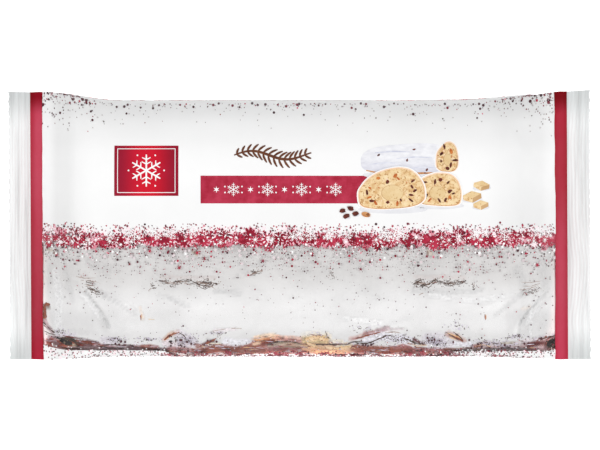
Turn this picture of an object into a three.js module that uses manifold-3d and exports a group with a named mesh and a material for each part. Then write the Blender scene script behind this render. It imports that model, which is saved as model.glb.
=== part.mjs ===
// A stollen sealed in a flow-wrap film pack, lying on its base.
// The film is a tube drawn round the loaf: a flat underside, upright sides and a low domed top.
// At both ends the tube is pressed flat into a ribbed seal with a saw-cut edge, its sides tucked in as
// gussets, and a lap seam runs along the underside in a shallow hollow. The pack is shut and full, so it
// is one solid. Millimetres, +X along the loaf, +Z up, origin on the ground under the middle of the pack.
import * as THREE from "three";
import { mergeVertices } from "three/addons/utils/BufferGeometryUtils.js";
import Module from "manifold-3d";

// Overall size
const packLength = 300;
const bodyWidth = 132;
const bodyHeight = 52;

// Cross-section of the body
const baseWidth = 110; // flat strip of the underside
const waistHeight = 15; // height of the widest line
const domePower = 2.8; // 2 is an ellipse, more is flatter on top with fuller shoulders

// End seals
const sealDepthLeft = 11.1;
const sealDepthRight = 12.2;
const sealWidth = 137.4;
const sealHeight = 20; // middle of the seal above the ground
const sealThickness = 0.8;
const sealRoot = 0.6; // flat strip between the body and the ribs
const ribCount = 6;
const ribHeight = 0.4;
const toothCount = 27;
const toothDepth = 0.9;

// How far from a seal each surface leaves the body's full section
const topSlopeLength = 36;
const baseSlopeLength = 13;
const flareLength = 36; // the plan outline widens over this length
const gussetLength = 30;

// Underside
const hollowWidth = 40;
const hollowDepth = 0.8;
const seamWidth = 12;
const seamDrop = 0.5; // how far the seam stands down into the hollow
const seamOffset = 5; // the seam is folded over to the +Y side
const seamStop = 15; // distance from its ends to the seals

// Fineness of the solid
const basePanelSteps = 9;
const gussetSteps = 6;
const topPanelSteps = 17;
const outlineSteps = 90;
const sectionDistances = [0, 1.5, 3, 5, 7.5, 10, 13, 16, 20, 24, 28, 32, 36, 60, 95]; // in from a seal
const mergeDistance = 1e-4; // points closer than this are one point

const wasm = await Module();
wasm.setup();

const quarterTurn = Math.PI / 2;
const mix = (a, b, u) => a + (b - a) * u;
const smooth = (u) => {
  const t = Math.min(Math.max(u, 0), 1);
  return t * t * (3 - 2 * t);
};

// Half of the body's section, closely spaced, from the middle of the base round to the top.
function fineOutline() {
  const points = [new THREE.Vector2(0, 0)];
  const cornerWidth = (bodyWidth - baseWidth) / 2;
  for (let i = 0; i <= outlineSteps; i++) {
    const turn = (i / outlineSteps) * quarterTurn;
    const y = baseWidth / 2 + cornerWidth * Math.sin(turn);
    points.push(new THREE.Vector2(y, waistHeight * (1 - Math.cos(turn))));
  }
  for (let i = 1; i <= outlineSteps; i++) {
    const turn = (i / outlineSteps) * quarterTurn;
    const y = (bodyWidth / 2) * Math.pow(Math.cos(turn), 2 / domePower);
    const rise = Math.pow(Math.sin(turn), 2 / domePower);
    points.push(new THREE.Vector2(y, mix(waistHeight, bodyHeight, rise)));
  }
  return points;
}

// The point at a given length along a polyline.
function pointAlong(points, distance) {
  let left = distance;
  for (let i = 1; i < points.length; i++) {
    const step = points[i].distanceTo(points[i - 1]);
    if (left <= step) return points[i - 1].clone().lerp(points[i], left / step);
    left -= step;
  }
  return points[points.length - 1].clone();
}

// The lines of film that run from end to end, over one half of the section from the middle of the base
// to the top. Each knows its place in the body's section and in the flat seal. tuck is its share of the
// gusset's depth, and lift goes from -1 on the lower film to 1 on the upper film.
function filmLines() {
  const outline = fineOutline();
  const girth = outline.reduce((sum, p, i) => (i ? sum + p.distanceTo(outline[i - 1]) : 0), 0);
  const panel = sealWidth / 2;
  const gusset = girth - 2 * panel;
  const tuckDepth = gusset / 2;
  const lines = [];
  const add = (distance, sealY, tuck, lift) => {
    const body = pointAlong(outline, distance);
    lines.push({ bodyY: body.x, bodyZ: body.y, sealY, tuck: tuck * tuckDepth, lift });
  };
  for (let i = 0; i < basePanelSteps; i++) {
    const u = i / basePanelSteps;
    add(panel * u, panel * u, 0, -1);
  }
  for (let i = 0; i < gussetSteps; i++) {
    const u = i / gussetSteps;
    add(panel + gusset * u, panel, 1 - Math.abs(2 * u - 1), 2 * u - 1);
  }
  for (let i = 0; i <= topPanelSteps; i++) {
    const u = i / topPanelSteps;
    add(panel + gusset + panel * u, panel * (1 - u), 0, 1);
  }
  return lines;
}

// How far the underside is raised into the hollow that holds the seam.
function hollow(y) {
  const off = Math.abs(y - seamOffset) / (hollowWidth / 2);
  return hollowDepth * (1 - smooth(off));
}

// Where a line of film lies at a distance d in from the seal. side is 1 for +Y and -1 for -Y.
function bodyPoint(line, d, side) {
  const flare = smooth(d / flareLength);
  const tuck = line.tuck * (1 - smooth(d / gussetLength));
  const slopeLength = line.bodyZ > sealHeight ? topSlopeLength : baseSlopeLength;
  const rise = Math.sin(Math.min(d / slopeLength, 1) * quarterTurn);
  const y = side * (mix(line.sealY, line.bodyY, flare) - tuck);
  const sealZ = sealHeight + (line.lift * sealThickness) / 2;
  const raised = line.lift === -1 ? hollow(y) * smooth(d / baseSlopeLength) : 0;
  return new THREE.Vector2(y, mix(sealZ, line.bodyZ, rise) + raised);
}

// Where a line lies within the seal, whose middle is raised by a rib.
function sealPoint(line, raised, side) {
  const z = sealHeight + raised + (line.lift * sealThickness) / 2;
  return new THREE.Vector2(side * line.sealY, z);
}

// One closed ring of the tube, from a function that places a line: from the middle of the base up the
// +Y side, over the top and down the -Y side.
function ring(lines, place) {
  const back = lines.slice(1, -1).reverse();
  return [...lines.map((line) => place(line, 1)), ...back.map((line) => place(line, -1))];
}

// All rings of one end, from the last one before the teeth to the middle of the pack. reach is how far
// each ring is from the middle.
function endRings(lines, sealDepth) {
  const outer = packLength / 2;
  const inner = outer - sealDepth;
  const ribbed = sealDepth - sealRoot - 2 * toothDepth;
  const rings = [];
  const ribSteps = 2 * ribCount;
  for (let i = ribSteps; i >= 0; i--) {
    const flat = i === 0 || i === ribSteps;
    const raised = flat ? 0 : ((i % 2 ? 1 : -1) * ribHeight) / 2;
    const reach = inner + sealRoot + (ribbed * i) / ribSteps;
    rings.push({ reach, points: ring(lines, (line, side) => sealPoint(line, raised, side)) });
  }
  sectionDistances.forEach((d) => {
    rings.push({ reach: inner - d, points: ring(lines, (line, side) => bodyPoint(line, d, side)) });
  });
  return rings;
}

// The saw-cut edge of a seal at one height, from -Y to +Y.
function toothedEdge(z) {
  const outer = packLength / 2;
  const points = [];
  for (let i = 0; i <= 2 * toothCount; i++) {
    const y = mix(-sealWidth / 2, sealWidth / 2, i / (2 * toothCount));
    points.push(new THREE.Vector3(i % 2 ? outer : outer - toothDepth, y, z));
  }
  return points;
}

// Joins two rows of points that run the same way with triangles, taking the nearer next point each time.
function joinRows(positions, faces, first, second) {
  const yOf = (index) => positions[3 * index + 1];
  let i = 0;
  let j = 0;
  while (i + 1 < first.length || j + 1 < second.length) {
    const firstNext =
      j + 1 === second.length ||
      (i + 1 < first.length && yOf(first[i + 1]) <= yOf(second[j + 1]));
    const next = firstNext ? first[++i] : second[++j];
    const [a, b] = firstNext ? [first[i - 1], second[j]] : [first[i], second[j - 1]];
    faces.push(a, b, next);
  }
}

function solidFrom(geometry) {
  const bare = geometry.clone();
  bare.deleteAttribute("normal");
  bare.deleteAttribute("uv");
  const merged = mergeVertices(bare, mergeDistance);
  const mesh = new wasm.Mesh({
    numProp: 3,
    vertProperties: merged.attributes.position.array,
    triVerts: new Uint32Array(merged.index.array),
  });
  return new wasm.Manifold(mesh);
}

function geometryFrom(solid) {
  const { numProp, vertProperties, triVerts } = solid.getMesh();
  const count = vertProperties.length / numProp;
  const positions = new Float32Array(count * 3);
  for (let i = 0; i < count; i++) {
    positions.set(vertProperties.subarray(i * numProp, i * numProp + 3), i * 3);
  }
  const geometry = new THREE.BufferGeometry();
  geometry.setAttribute("position", new THREE.BufferAttribute(positions, 3));
  geometry.setIndex(new THREE.BufferAttribute(triVerts, 1));
  geometry.computeVertexNormals();
  return geometry;
}

// Closes one end with the toothed edge. The upper and lower film reach it in rows of their own, and the
// cut itself is the strip between them. direction is 1 at the right-hand end and -1 at the left.
function addTeeth(positions, faces, ringStart, ringSize, direction) {
  const start = faces.length;
  const lowerEdge = basePanelSteps; // index of the line at the lower film's edge
  const upperEdge = basePanelSteps + gussetSteps;
  const row = (from, to) => {
    const indices = [];
    for (let k = from; k <= to; k++) indices.push(ringStart + ((k + ringSize) % ringSize));
    return indices;
  };
  const addRow = (z) => {
    return toothedEdge(z).map((p) => {
      positions.push(direction * p.x, p.y, p.z);
      return positions.length / 3 - 1;
    });
  };
  const upper = addRow(sealHeight + sealThickness / 2);
  const lower = addRow(sealHeight - sealThickness / 2);
  const top = row(upperEdge, ringSize - upperEdge).reverse();
  const base = row(-lowerEdge, lowerEdge);
  joinRows(positions, faces, top, upper);
  joinRows(positions, faces, lower, base);
  joinRows(positions, faces, upper, lower);
  const wallPlus = row(lowerEdge, upperEdge); // the thickness of the seal at its +Y end
  const wallMinus = row(ringSize - upperEdge, ringSize - lowerEdge);
  for (let k = 0; k < gussetSteps; k++) {
    faces.push(lower[lower.length - 1], wallPlus[k], wallPlus[k + 1]);
    faces.push(upper[0], wallMinus[k], wallMinus[k + 1]);
  }
  faces.push(lower[lower.length - 1], wallPlus[gussetSteps], upper[upper.length - 1]);
  faces.push(upper[0], wallMinus[gussetSteps], lower[0]);
  if (direction < 0) {
    for (let k = start; k < faces.length; k += 3) {
      [faces[k + 1], faces[k + 2]] = [faces[k + 2], faces[k + 1]];
    }
  }
}

// The filled tube with both its seals.
function tubeSolid() {
  const lines = filmLines();
  const left = endRings(lines, sealDepthLeft).map(({ reach, points }) => ({ x: -reach, points }));
  const right = endRings(lines, sealDepthRight).map(({ reach, points }) => ({ x: reach, points }));
  const rings = [...left, ...right.reverse()];
  const size = rings[0].points.length;
  const positions = rings.flatMap(({ x, points }) => points.flatMap((p) => [x, p.x, p.y]));
  const faces = [];
  for (let i = 0; i + 1 < rings.length; i++) {
    for (let k = 0; k < size; k++) {
      const a = i * size + k;
      const b = i * size + ((k + 1) % size);
      faces.push(a, b, a + size, b, b + size, a + size);
    }
  }
  addTeeth(positions, faces, 0, size, -1);
  addTeeth(positions, faces, (rings.length - 1) * size, size, 1);
  const geometry = new THREE.BufferGeometry();
  geometry.setAttribute("position", new THREE.Float32BufferAttribute(positions, 3));
  geometry.setIndex(faces);
  return solidFrom(geometry);
}

// The lap seam, lying in the hollow of the underside.
function seamSolid() {
  const leftEnd = -packLength / 2 + sealDepthLeft + seamStop;
  const rightEnd = packLength / 2 - sealDepthRight - seamStop;
  const thickness = 2 * seamDrop;
  const strip = new THREE.BoxGeometry(rightEnd - leftEnd, seamWidth, thickness);
  strip.translate((leftEnd + rightEnd) / 2, seamOffset, hollowDepth - seamDrop + thickness / 2);
  return solidFrom(strip);
}

const film = new THREE.MeshStandardMaterial({ color: 0xf2f1ef, roughness: 0.3, metalness: 0 });

const pack = new THREE.Mesh(geometryFrom(tubeSolid().add(seamSolid())), film);
pack.name = "stollen_pack";

const object = new THREE.Group();
object.add(pack);

export default object;
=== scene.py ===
"""A sealed film pack of stollen: the printed film with its clear window, and the sugared loaf inside it.

Places and sizes are worked out in millimetres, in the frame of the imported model, and become metres when
a mesh is made. A place on the film is x along the pack and s round it: s is the length of film from the
middle of the top, positive towards +Y and negative towards -Y.
"""
import math
from itertools import product

import bpy
import numpy as np
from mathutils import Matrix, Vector
from mathutils.bvhtree import BVHTree
from mathutils.geometry import tessellate_polygon

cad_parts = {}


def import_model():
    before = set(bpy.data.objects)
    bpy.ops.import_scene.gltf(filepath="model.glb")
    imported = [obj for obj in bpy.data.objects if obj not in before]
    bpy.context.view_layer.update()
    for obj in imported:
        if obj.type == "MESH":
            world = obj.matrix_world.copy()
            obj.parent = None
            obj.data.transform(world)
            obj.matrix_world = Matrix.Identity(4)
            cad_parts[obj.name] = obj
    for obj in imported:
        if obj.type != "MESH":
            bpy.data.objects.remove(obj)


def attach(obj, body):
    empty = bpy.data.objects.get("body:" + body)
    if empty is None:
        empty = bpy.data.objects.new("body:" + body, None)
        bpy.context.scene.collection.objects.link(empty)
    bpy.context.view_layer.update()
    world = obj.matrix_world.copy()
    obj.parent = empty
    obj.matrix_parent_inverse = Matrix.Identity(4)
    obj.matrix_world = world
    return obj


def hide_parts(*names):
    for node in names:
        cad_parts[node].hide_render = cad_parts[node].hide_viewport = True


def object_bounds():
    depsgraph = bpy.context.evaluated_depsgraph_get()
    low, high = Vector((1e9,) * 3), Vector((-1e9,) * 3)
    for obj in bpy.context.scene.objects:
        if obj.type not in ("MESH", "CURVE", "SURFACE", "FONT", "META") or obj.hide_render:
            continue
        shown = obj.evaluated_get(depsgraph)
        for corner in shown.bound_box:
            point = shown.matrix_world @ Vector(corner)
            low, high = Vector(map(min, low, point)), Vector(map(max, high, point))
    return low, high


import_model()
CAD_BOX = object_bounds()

MM = 0.001
PACK = "stollen_pack"

# ---------------------------------------------------------------- sizes of the pack
PACK_LENGTH, SEAL_WIDTH, BODY_HEIGHT = (round((h - l) / MM, 2) for l, h in zip(*CAD_BOX))
BODY_WIDTH = 132.5
BODY_SHIFT = -1.2  # the body bulges a little more on the window's side
BASE_WIDTH = 110  # flat strip of the underside
WAIST = 15  # height of the widest line
DOME_POWER = 2.8
SEAL_DEPTH = {-1: 11.35, 1: 12.1}  # left end and right end
SEAL_HEIGHT = 20
SEAL_THICKNESS = 0.7
TOP_SLOPE = 36
BASE_SLOPE = 13
FLARE = {-1: (9, 47), 1: (0, 58)}  # how far in from each seal the body starts to narrow and ends
GUSSET_LENGTH = 20
BASE_LIFT = 0.25  # room for the print under the base
HOLLOW_WIDTH, HOLLOW_DEPTH, HOLLOW_AT = 40, 0.8, 5  # the hollow of the underside that holds the seam
STRIPE_WIDTH = {-1: 6.8, 1: 7.05}
SKEW = 0.005  # the two ends lean a little, like a parallelogram
TEETH, TOOTH_DEPTH, TOOTH_ZONE = 27, 0.65, 2.0  # their number, their depth and how far in they bend the film
RIBS, RIB_HEIGHT, RIB_MARGIN = 6, 0.08, 1.6  # of each seal, whose ribs stop short of its saw-tooth edge
SEAL_WAVE = 1.3  # how far the saw-tooth edges rise and fall
WINDOW_TOP = -7.6  # s of the clear window's upper edge
HEM = 2.8  # depth of the white strip laid along the window's lower edge, half of it on the clear film

HALF_LENGTH = PACK_LENGTH / 2
PANEL = SEAL_WIDTH / 2
INNER = {end: HALF_LENGTH - SEAL_DEPTH[end] for end in (-1, 1)}  # where each seal meets the body
STRIPE = {end: INNER[end] - STRIPE_WIDTH[end] for end in (-1, 1)}
PRINT_LEFT, PRINT_RIGHT = -STRIPE[-1], STRIPE[1]  # the print lies between the stripes
WHOLE = (PRINT_LEFT, PRINT_RIGHT)


# ---------------------------------------------------------------- small mathematics
def smooth(u):
    """0 below 0, 1 above 1, and an S-curve between."""
    t = np.clip(u, 0, 1)
    return t * t * (3 - 2 * t)


def noise(points, size, seed):
    """Smooth noise from -1 to 1 at each point, with bumps about size across."""
    place = np.asarray(points, float) / size
    cell = np.floor(place).astype(np.int64)
    share = smooth(place - cell)
    total = np.zeros(len(place))
    for corner in product((0, 1), repeat=place.shape[1]):
        key = np.full(len(place), seed * 7919 + 17, np.int64)
        weight = np.ones(len(place))
        for axis, step in enumerate(corner):
            key = (key * 6364136 + (cell[:, axis] + step) * 1442695 + 12345) & 0x7FFFFFFF
            key ^= key >> 15
            weight *= share[:, axis] if step else 1 - share[:, axis]
        key = (key * 48271) & 0x7FFFFFFF
        key ^= key >> 13
        total += weight * ((key & 0xFFFF) / 32767.5 - 1)
    return total


def layered(points, size, seed, layers):
    """Noise with finer and weaker layers on top of the first."""
    total = sum(noise(points, size / 2**k, seed + k) / 2**k for k in range(layers))
    return total / (2 - 2 ** (1 - layers))


def field(grid, size, seed, layers, stretch=1):
    """Layered noise at each point of a grid, whose coordinates are multiplied by stretch first."""
    points = grid.reshape(-1, grid.shape[-1]) * stretch
    return layered(points, size, seed, layers).reshape(grid.shape[:-1])


def along(start, end, step):
    """Even steps from start up to, but not including, end."""
    return np.linspace(start, end, math.ceil((end - start) / step), endpoint=False)


def round_angles(count):
    """Even angles of a full turn."""
    return np.linspace(0, 2 * math.pi, count, endpoint=False)


def turned(points, angle):
    """Points turned about the origin."""
    cos, sin = math.cos(angle), math.sin(angle)
    return np.asarray(points) @ [[cos, sin], [-sin, cos]]


def distance_to_line(px, py, line):
    """Distance of each place (px, py) to a line through the given points."""
    best = np.full(np.shape(px), np.inf)
    for (ax, ay), (bx, by) in zip(line, line[1:]):
        length2 = (bx - ax) ** 2 + (by - ay) ** 2
        t = np.clip(((px - ax) * (bx - ax) + (py - ay) * (by - ay)) / length2, 0, 1)
        best = np.minimum(best, np.hypot(px - ax - t * (bx - ax), py - ay - t * (by - ay)))
    return best


def ridge(px, py, line, width):
    """1 on a line, falling to nothing over about that width on both sides of it."""
    return np.exp(-((distance_to_line(px, py, line) / width) ** 2))


def lengths(u, v):
    """How far along a line each of its points is."""
    return np.concatenate([[0], np.cumsum(np.hypot(np.diff(u), np.diff(v)))])


def walk(line, step, least):
    """Even places along a line, the direction across it at each, and the share of the line behind each."""
    u, v = np.transpose(line)
    length = lengths(u, v)
    at = np.linspace(0, length[-1], max(least, int(length[-1] / step)))
    centre = np.stack([np.interp(at, length, u), np.interp(at, length, v)], -1)
    ahead = np.gradient(centre, axis=0)
    across = np.stack([ahead[:, 1], -ahead[:, 0]], -1) / np.linalg.norm(ahead, axis=1)[:, None]
    return centre, across, at / length[-1]


# ---------------------------------------------------------------- meshes
def make_piece(name, points, faces, materials, face_material=None, sharp=40):
    """A mesh from points in millimetres, shaded smooth but at edges sharper than the given angle."""
    mesh = bpy.data.meshes.new(name)
    mesh.from_pydata(np.asarray(points) * MM, [], faces)
    for m in materials:
        mesh.materials.append(m)
    if face_material is not None:
        mesh.polygons.foreach_set("material_index", np.asarray(face_material, np.int32))
    mesh.polygons.foreach_set("use_smooth", np.ones(len(mesh.polygons), bool))
    mesh.set_sharp_from_angle(angle=math.radians(sharp))
    mesh.update()
    piece = bpy.data.objects.new(name, mesh)
    bpy.context.scene.collection.objects.link(piece)
    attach(piece, "root")
    return piece


def ring_faces(rings, size):
    """Quads of a tube of closed rings that follow each other."""
    i, j = np.meshgrid(np.arange(rings - 1), np.arange(size), indexing="ij")
    here, beside = i * size + j, i * size + (j + 1) % size
    return np.stack([here, here + size, beside + size, beside], axis=-1).reshape(-1, 4)


# ---------------------------------------------------------------- materials
def srgb(red, green, blue):
    """A colour given as 0 to 255 in a picture, as the linear one that shaders take."""
    channels = [c / 255 for c in (red, green, blue)]
    return [c / 12.92 if c <= 0.04045 else ((c + 0.055) / 1.055) ** 2.4 for c in channels] + [1]


def node(tree, kind, numbered=(), **settings):
    """A node with its settings: each is a property of the node, or what one of its inputs is given, which
    may be another node's output. An input that shares its name with others goes by its number."""
    made = tree.nodes.new(kind)
    inputs = dict(numbered)
    for name, value in settings.items():
        if hasattr(made, name):
            setattr(made, name, value)
        else:
            inputs[name.replace("_", " ")] = value
    for key, value in inputs.items():
        if isinstance(value, bpy.types.NodeSocket):
            tree.links.new(value, made.inputs[key])
        else:
            made.inputs[key].default_value = value
    return made


def ranged(tree, value, start, end, low=0, high=1, **settings):
    """A value that goes from start to end, made to go from low to high."""
    made = node(tree, "ShaderNodeMapRange", Value=value, From_Min=start, From_Max=end,
                To_Min=low, To_Max=high, **settings)
    return made.outputs["Result"]


def mixed(tree, share, below, above, blend="MIX"):
    """A colour with a share of another one over it."""
    made = node(tree, "ShaderNodeMix", {0: share, 6: below, 7: above}, data_type="RGBA", blend_type=blend)
    return made.outputs[2]


def bumps(tree, place, size, detail, longer=(1, 1, 1), roughness=0.5):
    """Noise with bumps of a size in millimetres, drawn out that many times along each axis."""
    drawn_out = node(tree, "ShaderNodeMapping", Vector=place, Scale=[1 / times for times in longer])
    made = node(tree, "ShaderNodeTexNoise", Vector=drawn_out.outputs["Vector"], Scale=1 / (size * MM),
                Detail=detail, Roughness=roughness)
    return made.outputs["Fac"]


def empty_material(name):
    """A material without nodes, its node tree, and coordinates to place a pattern by."""
    made = bpy.data.materials.new(name)
    made.use_nodes = True
    made.node_tree.nodes.clear()
    return made, made.node_tree, node(made.node_tree, "ShaderNodeTexCoord").outputs["Object"]


def opened(made):
    """The node tree of a patterned surface, its coordinates and the input for its colour."""
    nodes = {n.type: n for n in made.node_tree.nodes}
    return made.node_tree, nodes["TEX_COORD"].outputs["Object"], nodes["BSDF_PRINCIPLED"].inputs["Base Color"]


def shaded(tree, place, colour, axis, start, end, tint):
    """A colour that takes on a tint as one coordinate, or its size for "|X|", goes from start to end."""
    coordinate = node(tree, "ShaderNodeSeparateXYZ", Vector=place).outputs[axis.strip("|")]
    if axis.startswith("|"):
        coordinate = node(tree, "ShaderNodeMath", {0: coordinate}, operation="ABSOLUTE").outputs["Value"]
    share = ranged(tree, coordinate, start * MM, end * MM, interpolation_type="SMOOTHSTEP")
    return mixed(tree, share, colour, srgb(*tint), "MULTIPLY")


def patterned(name, colours, patch, roughness, grain, grain_depth, shades=(), longer=(1, 1, 1), **sockets):
    """A surface whose colour wanders through the given ones over patches of that size, with a fine grain.
    patch, grain and grain_depth are in millimetres. longer is how many times longer the patches are along
    each axis, shades are places where it takes on a tint, and sockets are further settings of the shader."""
    made, tree, place = empty_material(name)
    patches = bumps(tree, place, patch, 5.0, longer, 0.6)
    ramp = node(tree, "ShaderNodeValToRGB", Fac=patches)
    low, high = 0.34, 0.66  # noise seldom leaves this range
    for k, colour in enumerate(colours):
        at = low + (high - low) * k / max(1, len(colours) - 1)
        stop = ramp.color_ramp.elements[k] if k < 2 else ramp.color_ramp.elements.new(at)
        stop.position = at
        stop.color = srgb(*colour)
    colour = ramp.outputs["Color"]
    for shade in shades:
        colour = shaded(tree, place, colour, *shade)
    spread = 0.12  # the roughness wanders by this share with the patches
    shine = ranged(tree, patches, 0, 1, roughness * (1 - spread), min(1, roughness * (1 + spread)))
    fine = bumps(tree, place, grain, 3.0)
    bump = node(tree, "ShaderNodeBump", Height=fine, Distance=grain_depth * MM, Strength=1.0)
    shader = node(tree, "ShaderNodeBsdfPrincipled", Base_Color=colour, Roughness=shine,
                  Normal=bump.outputs["Normal"], **sockets)
    node(tree, "ShaderNodeOutputMaterial", Surface=shader.outputs["BSDF"])
    return made


def clear_film(name):
    """Film that lets light through, and mirrors more of it the flatter it is seen."""
    made, tree, place = empty_material(name)
    tilt = node(tree, "ShaderNodeLayerWeight", Blend=0.5).outputs["Facing"]
    steep = node(tree, "ShaderNodeMath", {0: tilt, 1: 5.0}, operation="POWER").outputs["Value"]
    haze_size = 30
    dull = ranged(tree, bumps(tree, place, haze_size, 2.0), 0, 1, 0.24, 0.3)
    through = node(tree, "ShaderNodeBsdfTransparent", Color=(0.97, 0.97, 0.975, 1)).outputs["BSDF"]
    gloss = node(tree, "ShaderNodeBsdfGlossy", Color=(1, 1, 1, 1), Roughness=dull).outputs["BSDF"]
    share = ranged(tree, steep, 0, 1, 0.03, 0.05)
    both = node(tree, "ShaderNodeMixShader", {0: share, 1: through, 2: gloss})
    node(tree, "ShaderNodeOutputMaterial", Surface=both.outputs["Shader"])
    return made


def flecked(made, colour, size, above, longer=(1, 1, 1)):
    """Adds flecks of another colour to a patterned surface, where a noise of that size is above a value."""
    tree, place, base = opened(made)
    spots = bumps(tree, place, size, 2.0, longer)
    edge = 0.03  # softness of a fleck's edge
    share = ranged(tree, spots, above - edge, above + edge, interpolation_type="SMOOTHSTEP")
    tree.links.new(mixed(tree, share, base.links[0].from_socket, srgb(*colour)), base)
    return made


# Painted light: the tints below give the film painted shade towards the window, over the far side and down to
# its rim, in a band near the left end and on the right part, and painted highlights beside both stripes.
WHITE_FILM = patterned("white_film", [(246, 246, 246), (250, 250, 250)], 40, 0.5, 1.2, 0.006, [
    ("Y", 30, 2, (248, 248, 248)),
    ("Y", 35, 46, (251, 251, 251)),
    ("Y", 51, 61, (247, 247, 247)),
    ("X", -112, -119, (247, 247, 247)),
    ("X", -123, -129, (268, 268, 268)),  # above 255 it lightens
    ("X", 90, 108, (248, 248, 248)),
    ("X", 122, 128, (262, 262, 262)),
])
# Painted shade: the seals darken towards both ends, and their streaks along Y are partly pale and dark press
# lines and partly painted shade of the ribs.
SEAL_FILM = patterned("seal_film", [(216, 219, 219), (238, 241, 241), (247, 251, 251)], 2.8, 0.45, 1.2, 0.01,
                      [("|Y|", 50, 68.5, (222, 223, 223))], (1, 26, 1))
STRIPE_MIDDLE = (STRIPE[1] + INNER[1]) / 2


def stripe_film(name, light, dark, shade):
    """Crimson film with painted shade: darker along both edges of the stripe, so that its middle reads as a
    painted highlight, and darkest at its far end.
    """
    return patterned(name, [light, dark], 30, 0.4, 1.2, 0.006, [
        ("|X|", STRIPE_MIDDLE + 0.4, INNER[-1], (232, 170, 186)),
        ("|X|", STRIPE_MIDDLE - 0.4, STRIPE[1] - 0.4, (240, 190, 204)),
        ("Y", 56, 67, (179, 28, 94)),
        shade,
    ], Specular_IOR_Level=0.12)


# The last tint of each stripe is painted shade as well: the left stripe darkens towards -Y and the right one
# towards +Y.
STRIPE_FILMS = {
    -1: stripe_film("left_stripe", (198, 60, 84), (202, 70, 94), ("Y", 40, -66, (216, 150, 168))),
    1: stripe_film("right_stripe", (190, 57, 80), (194, 65, 88), ("Y", -20, 22, (234, 160, 180))),
}
CLEAR_FILM = clear_film("clear_film")


# ---------------------------------------------------------------- the film tube
def half_outline():
    """The body's section from the middle of the base round to the top, as y, z and length so far."""
    turn = np.linspace(0, math.pi / 2, 181)
    corner_y = BASE_WIDTH / 2 + (BODY_WIDTH - BASE_WIDTH) / 2 * np.sin(turn)
    corner_z = WAIST * (1 - np.cos(turn))
    dome_y = BODY_WIDTH / 2 * np.cos(turn).clip(0) ** (2 / DOME_POWER)
    dome_z = WAIST + (BODY_HEIGHT - WAIST) * np.sin(turn) ** (2 / DOME_POWER)
    y = np.concatenate([[0], corner_y, dome_y[1:]])
    z = np.concatenate([[0], corner_z, dome_z[1:]])
    return y, z, lengths(y, z)


OUTLINE_Y, OUTLINE_Z, OUTLINE_LENGTH = half_outline()
HALF_GIRTH = OUTLINE_LENGTH[-1]
GUSSET = HALF_GIRTH - 2 * PANEL


WINDOW_FOOT = [  # x and s of the window's lower edge
    (-133, -60.6), (-128, -62), (-120, -63.7), (-110, -65), (-98, -67.2), (-69, -68.2), (-62, -84),
    (-45, -92), (60, -92), (72, -84), (79, -69), (93, -68), (103, -66), (118, -64.7), (132, -63.8),
]


def window_foot(x):
    """s of the window's lower edge, which rises towards both ends."""
    return np.interp(x, *np.transpose(WINDOW_FOOT))


def from_seal(x):
    """How far in from its nearer seal a place is. It is negative within the seal."""
    return np.where(x < 0, x + INNER[-1], INNER[1] - x)


def smooth_film(x, s):
    """Points of the unwrinkled film tube."""
    side = np.where(s < 0, -1.0, 1.0)
    from_base = HALF_GIRTH - np.abs(s)
    body_y = np.interp(from_base, OUTLINE_LENGTH, OUTLINE_Y)
    body_z = np.interp(from_base, OUTLINE_LENGTH, OUTLINE_Z)
    seal_y = np.minimum(np.minimum(np.abs(s), from_base), PANEL)
    share = np.clip((np.abs(s) - PANEL) / GUSSET, 0, 1)  # 0 on the top panel, 1 on the base panel
    inward = from_seal(x)
    tuck = (1 - np.abs(2 * share - 1)) * GUSSET / 2 * (1 - smooth(inward / GUSSET_LENGTH))
    tuck = np.where(inward < 0, 0, tuck)  # how far the gusset folds in behind the seal
    left, right = (smooth((inward - near) / (far - near)) for near, far in (FLARE[-1], FLARE[1]))
    full = np.where(x < 0, left, right)
    y = side * (seal_y + (body_y - seal_y) * full - tuck) + BODY_SHIFT * full
    slope = np.where(body_z > SEAL_HEIGHT, TOP_SLOPE, BASE_SLOPE)
    rise = np.sin(np.clip(inward / slope, 0, 1) * math.pi / 2)
    seal_z = SEAL_HEIGHT + (0.5 - share) * SEAL_THICKNESS
    hollow = np.where(share == 1, HOLLOW_DEPTH * (1 - smooth(np.abs(y - HOLLOW_AT) * 2 / HOLLOW_WIDTH)), 0)
    z = seal_z + (body_z - seal_z) * rise + hollow * smooth(inward / BASE_SLOPE)
    return np.stack([x + 0 * y, y, z], axis=-1)


def shape_seals(points, x, inward):
    """Presses the ribs into the seals, gives them a slight wave and cuts their saw-tooth edges."""
    end = np.where(x < 0, -1, 1)
    depth = np.where(end < 0, SEAL_DEPTH[-1], SEAL_DEPTH[1])
    ribbed = smooth(-inward / 0.8) * smooth((depth + inward) / 1.2)
    y = points[..., 1]
    flat = np.stack([y + 200 * end, 0 * y], -1)  # the two ends get waves of their own
    phase = -inward / (depth - RIB_MARGIN) * RIBS + 1.1 * field(flat, 30, 7, 2)
    points[..., 2] += ribbed * RIB_HEIGHT * np.sin(2 * math.pi * phase)
    points[..., 2] += SEAL_WAVE * field(flat, 60, 5, 2) * np.clip(-inward / depth, 0, 1) ** 1.5
    pitch = SEAL_WIDTH / TEETH
    tooth = np.abs(((y / pitch + 0.5) % 1) * 2 - 1)  # 0 in the gaps and 1 at the points
    zone = np.clip((TOOTH_ZONE - depth - inward) / TOOTH_ZONE, 0, 1)
    points[..., 0] -= end * zone * TOOTH_DEPTH * (1 - tooth)
    far_side, widening = np.clip(y / PANEL, 0, 1) ** 3, np.where(end > 0, 1.5, 0.5)
    points[..., 1] += widening * far_side * np.clip(1 - (inward + depth) / (depth + 16), 0, 1) ** 1.5
    return points


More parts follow.
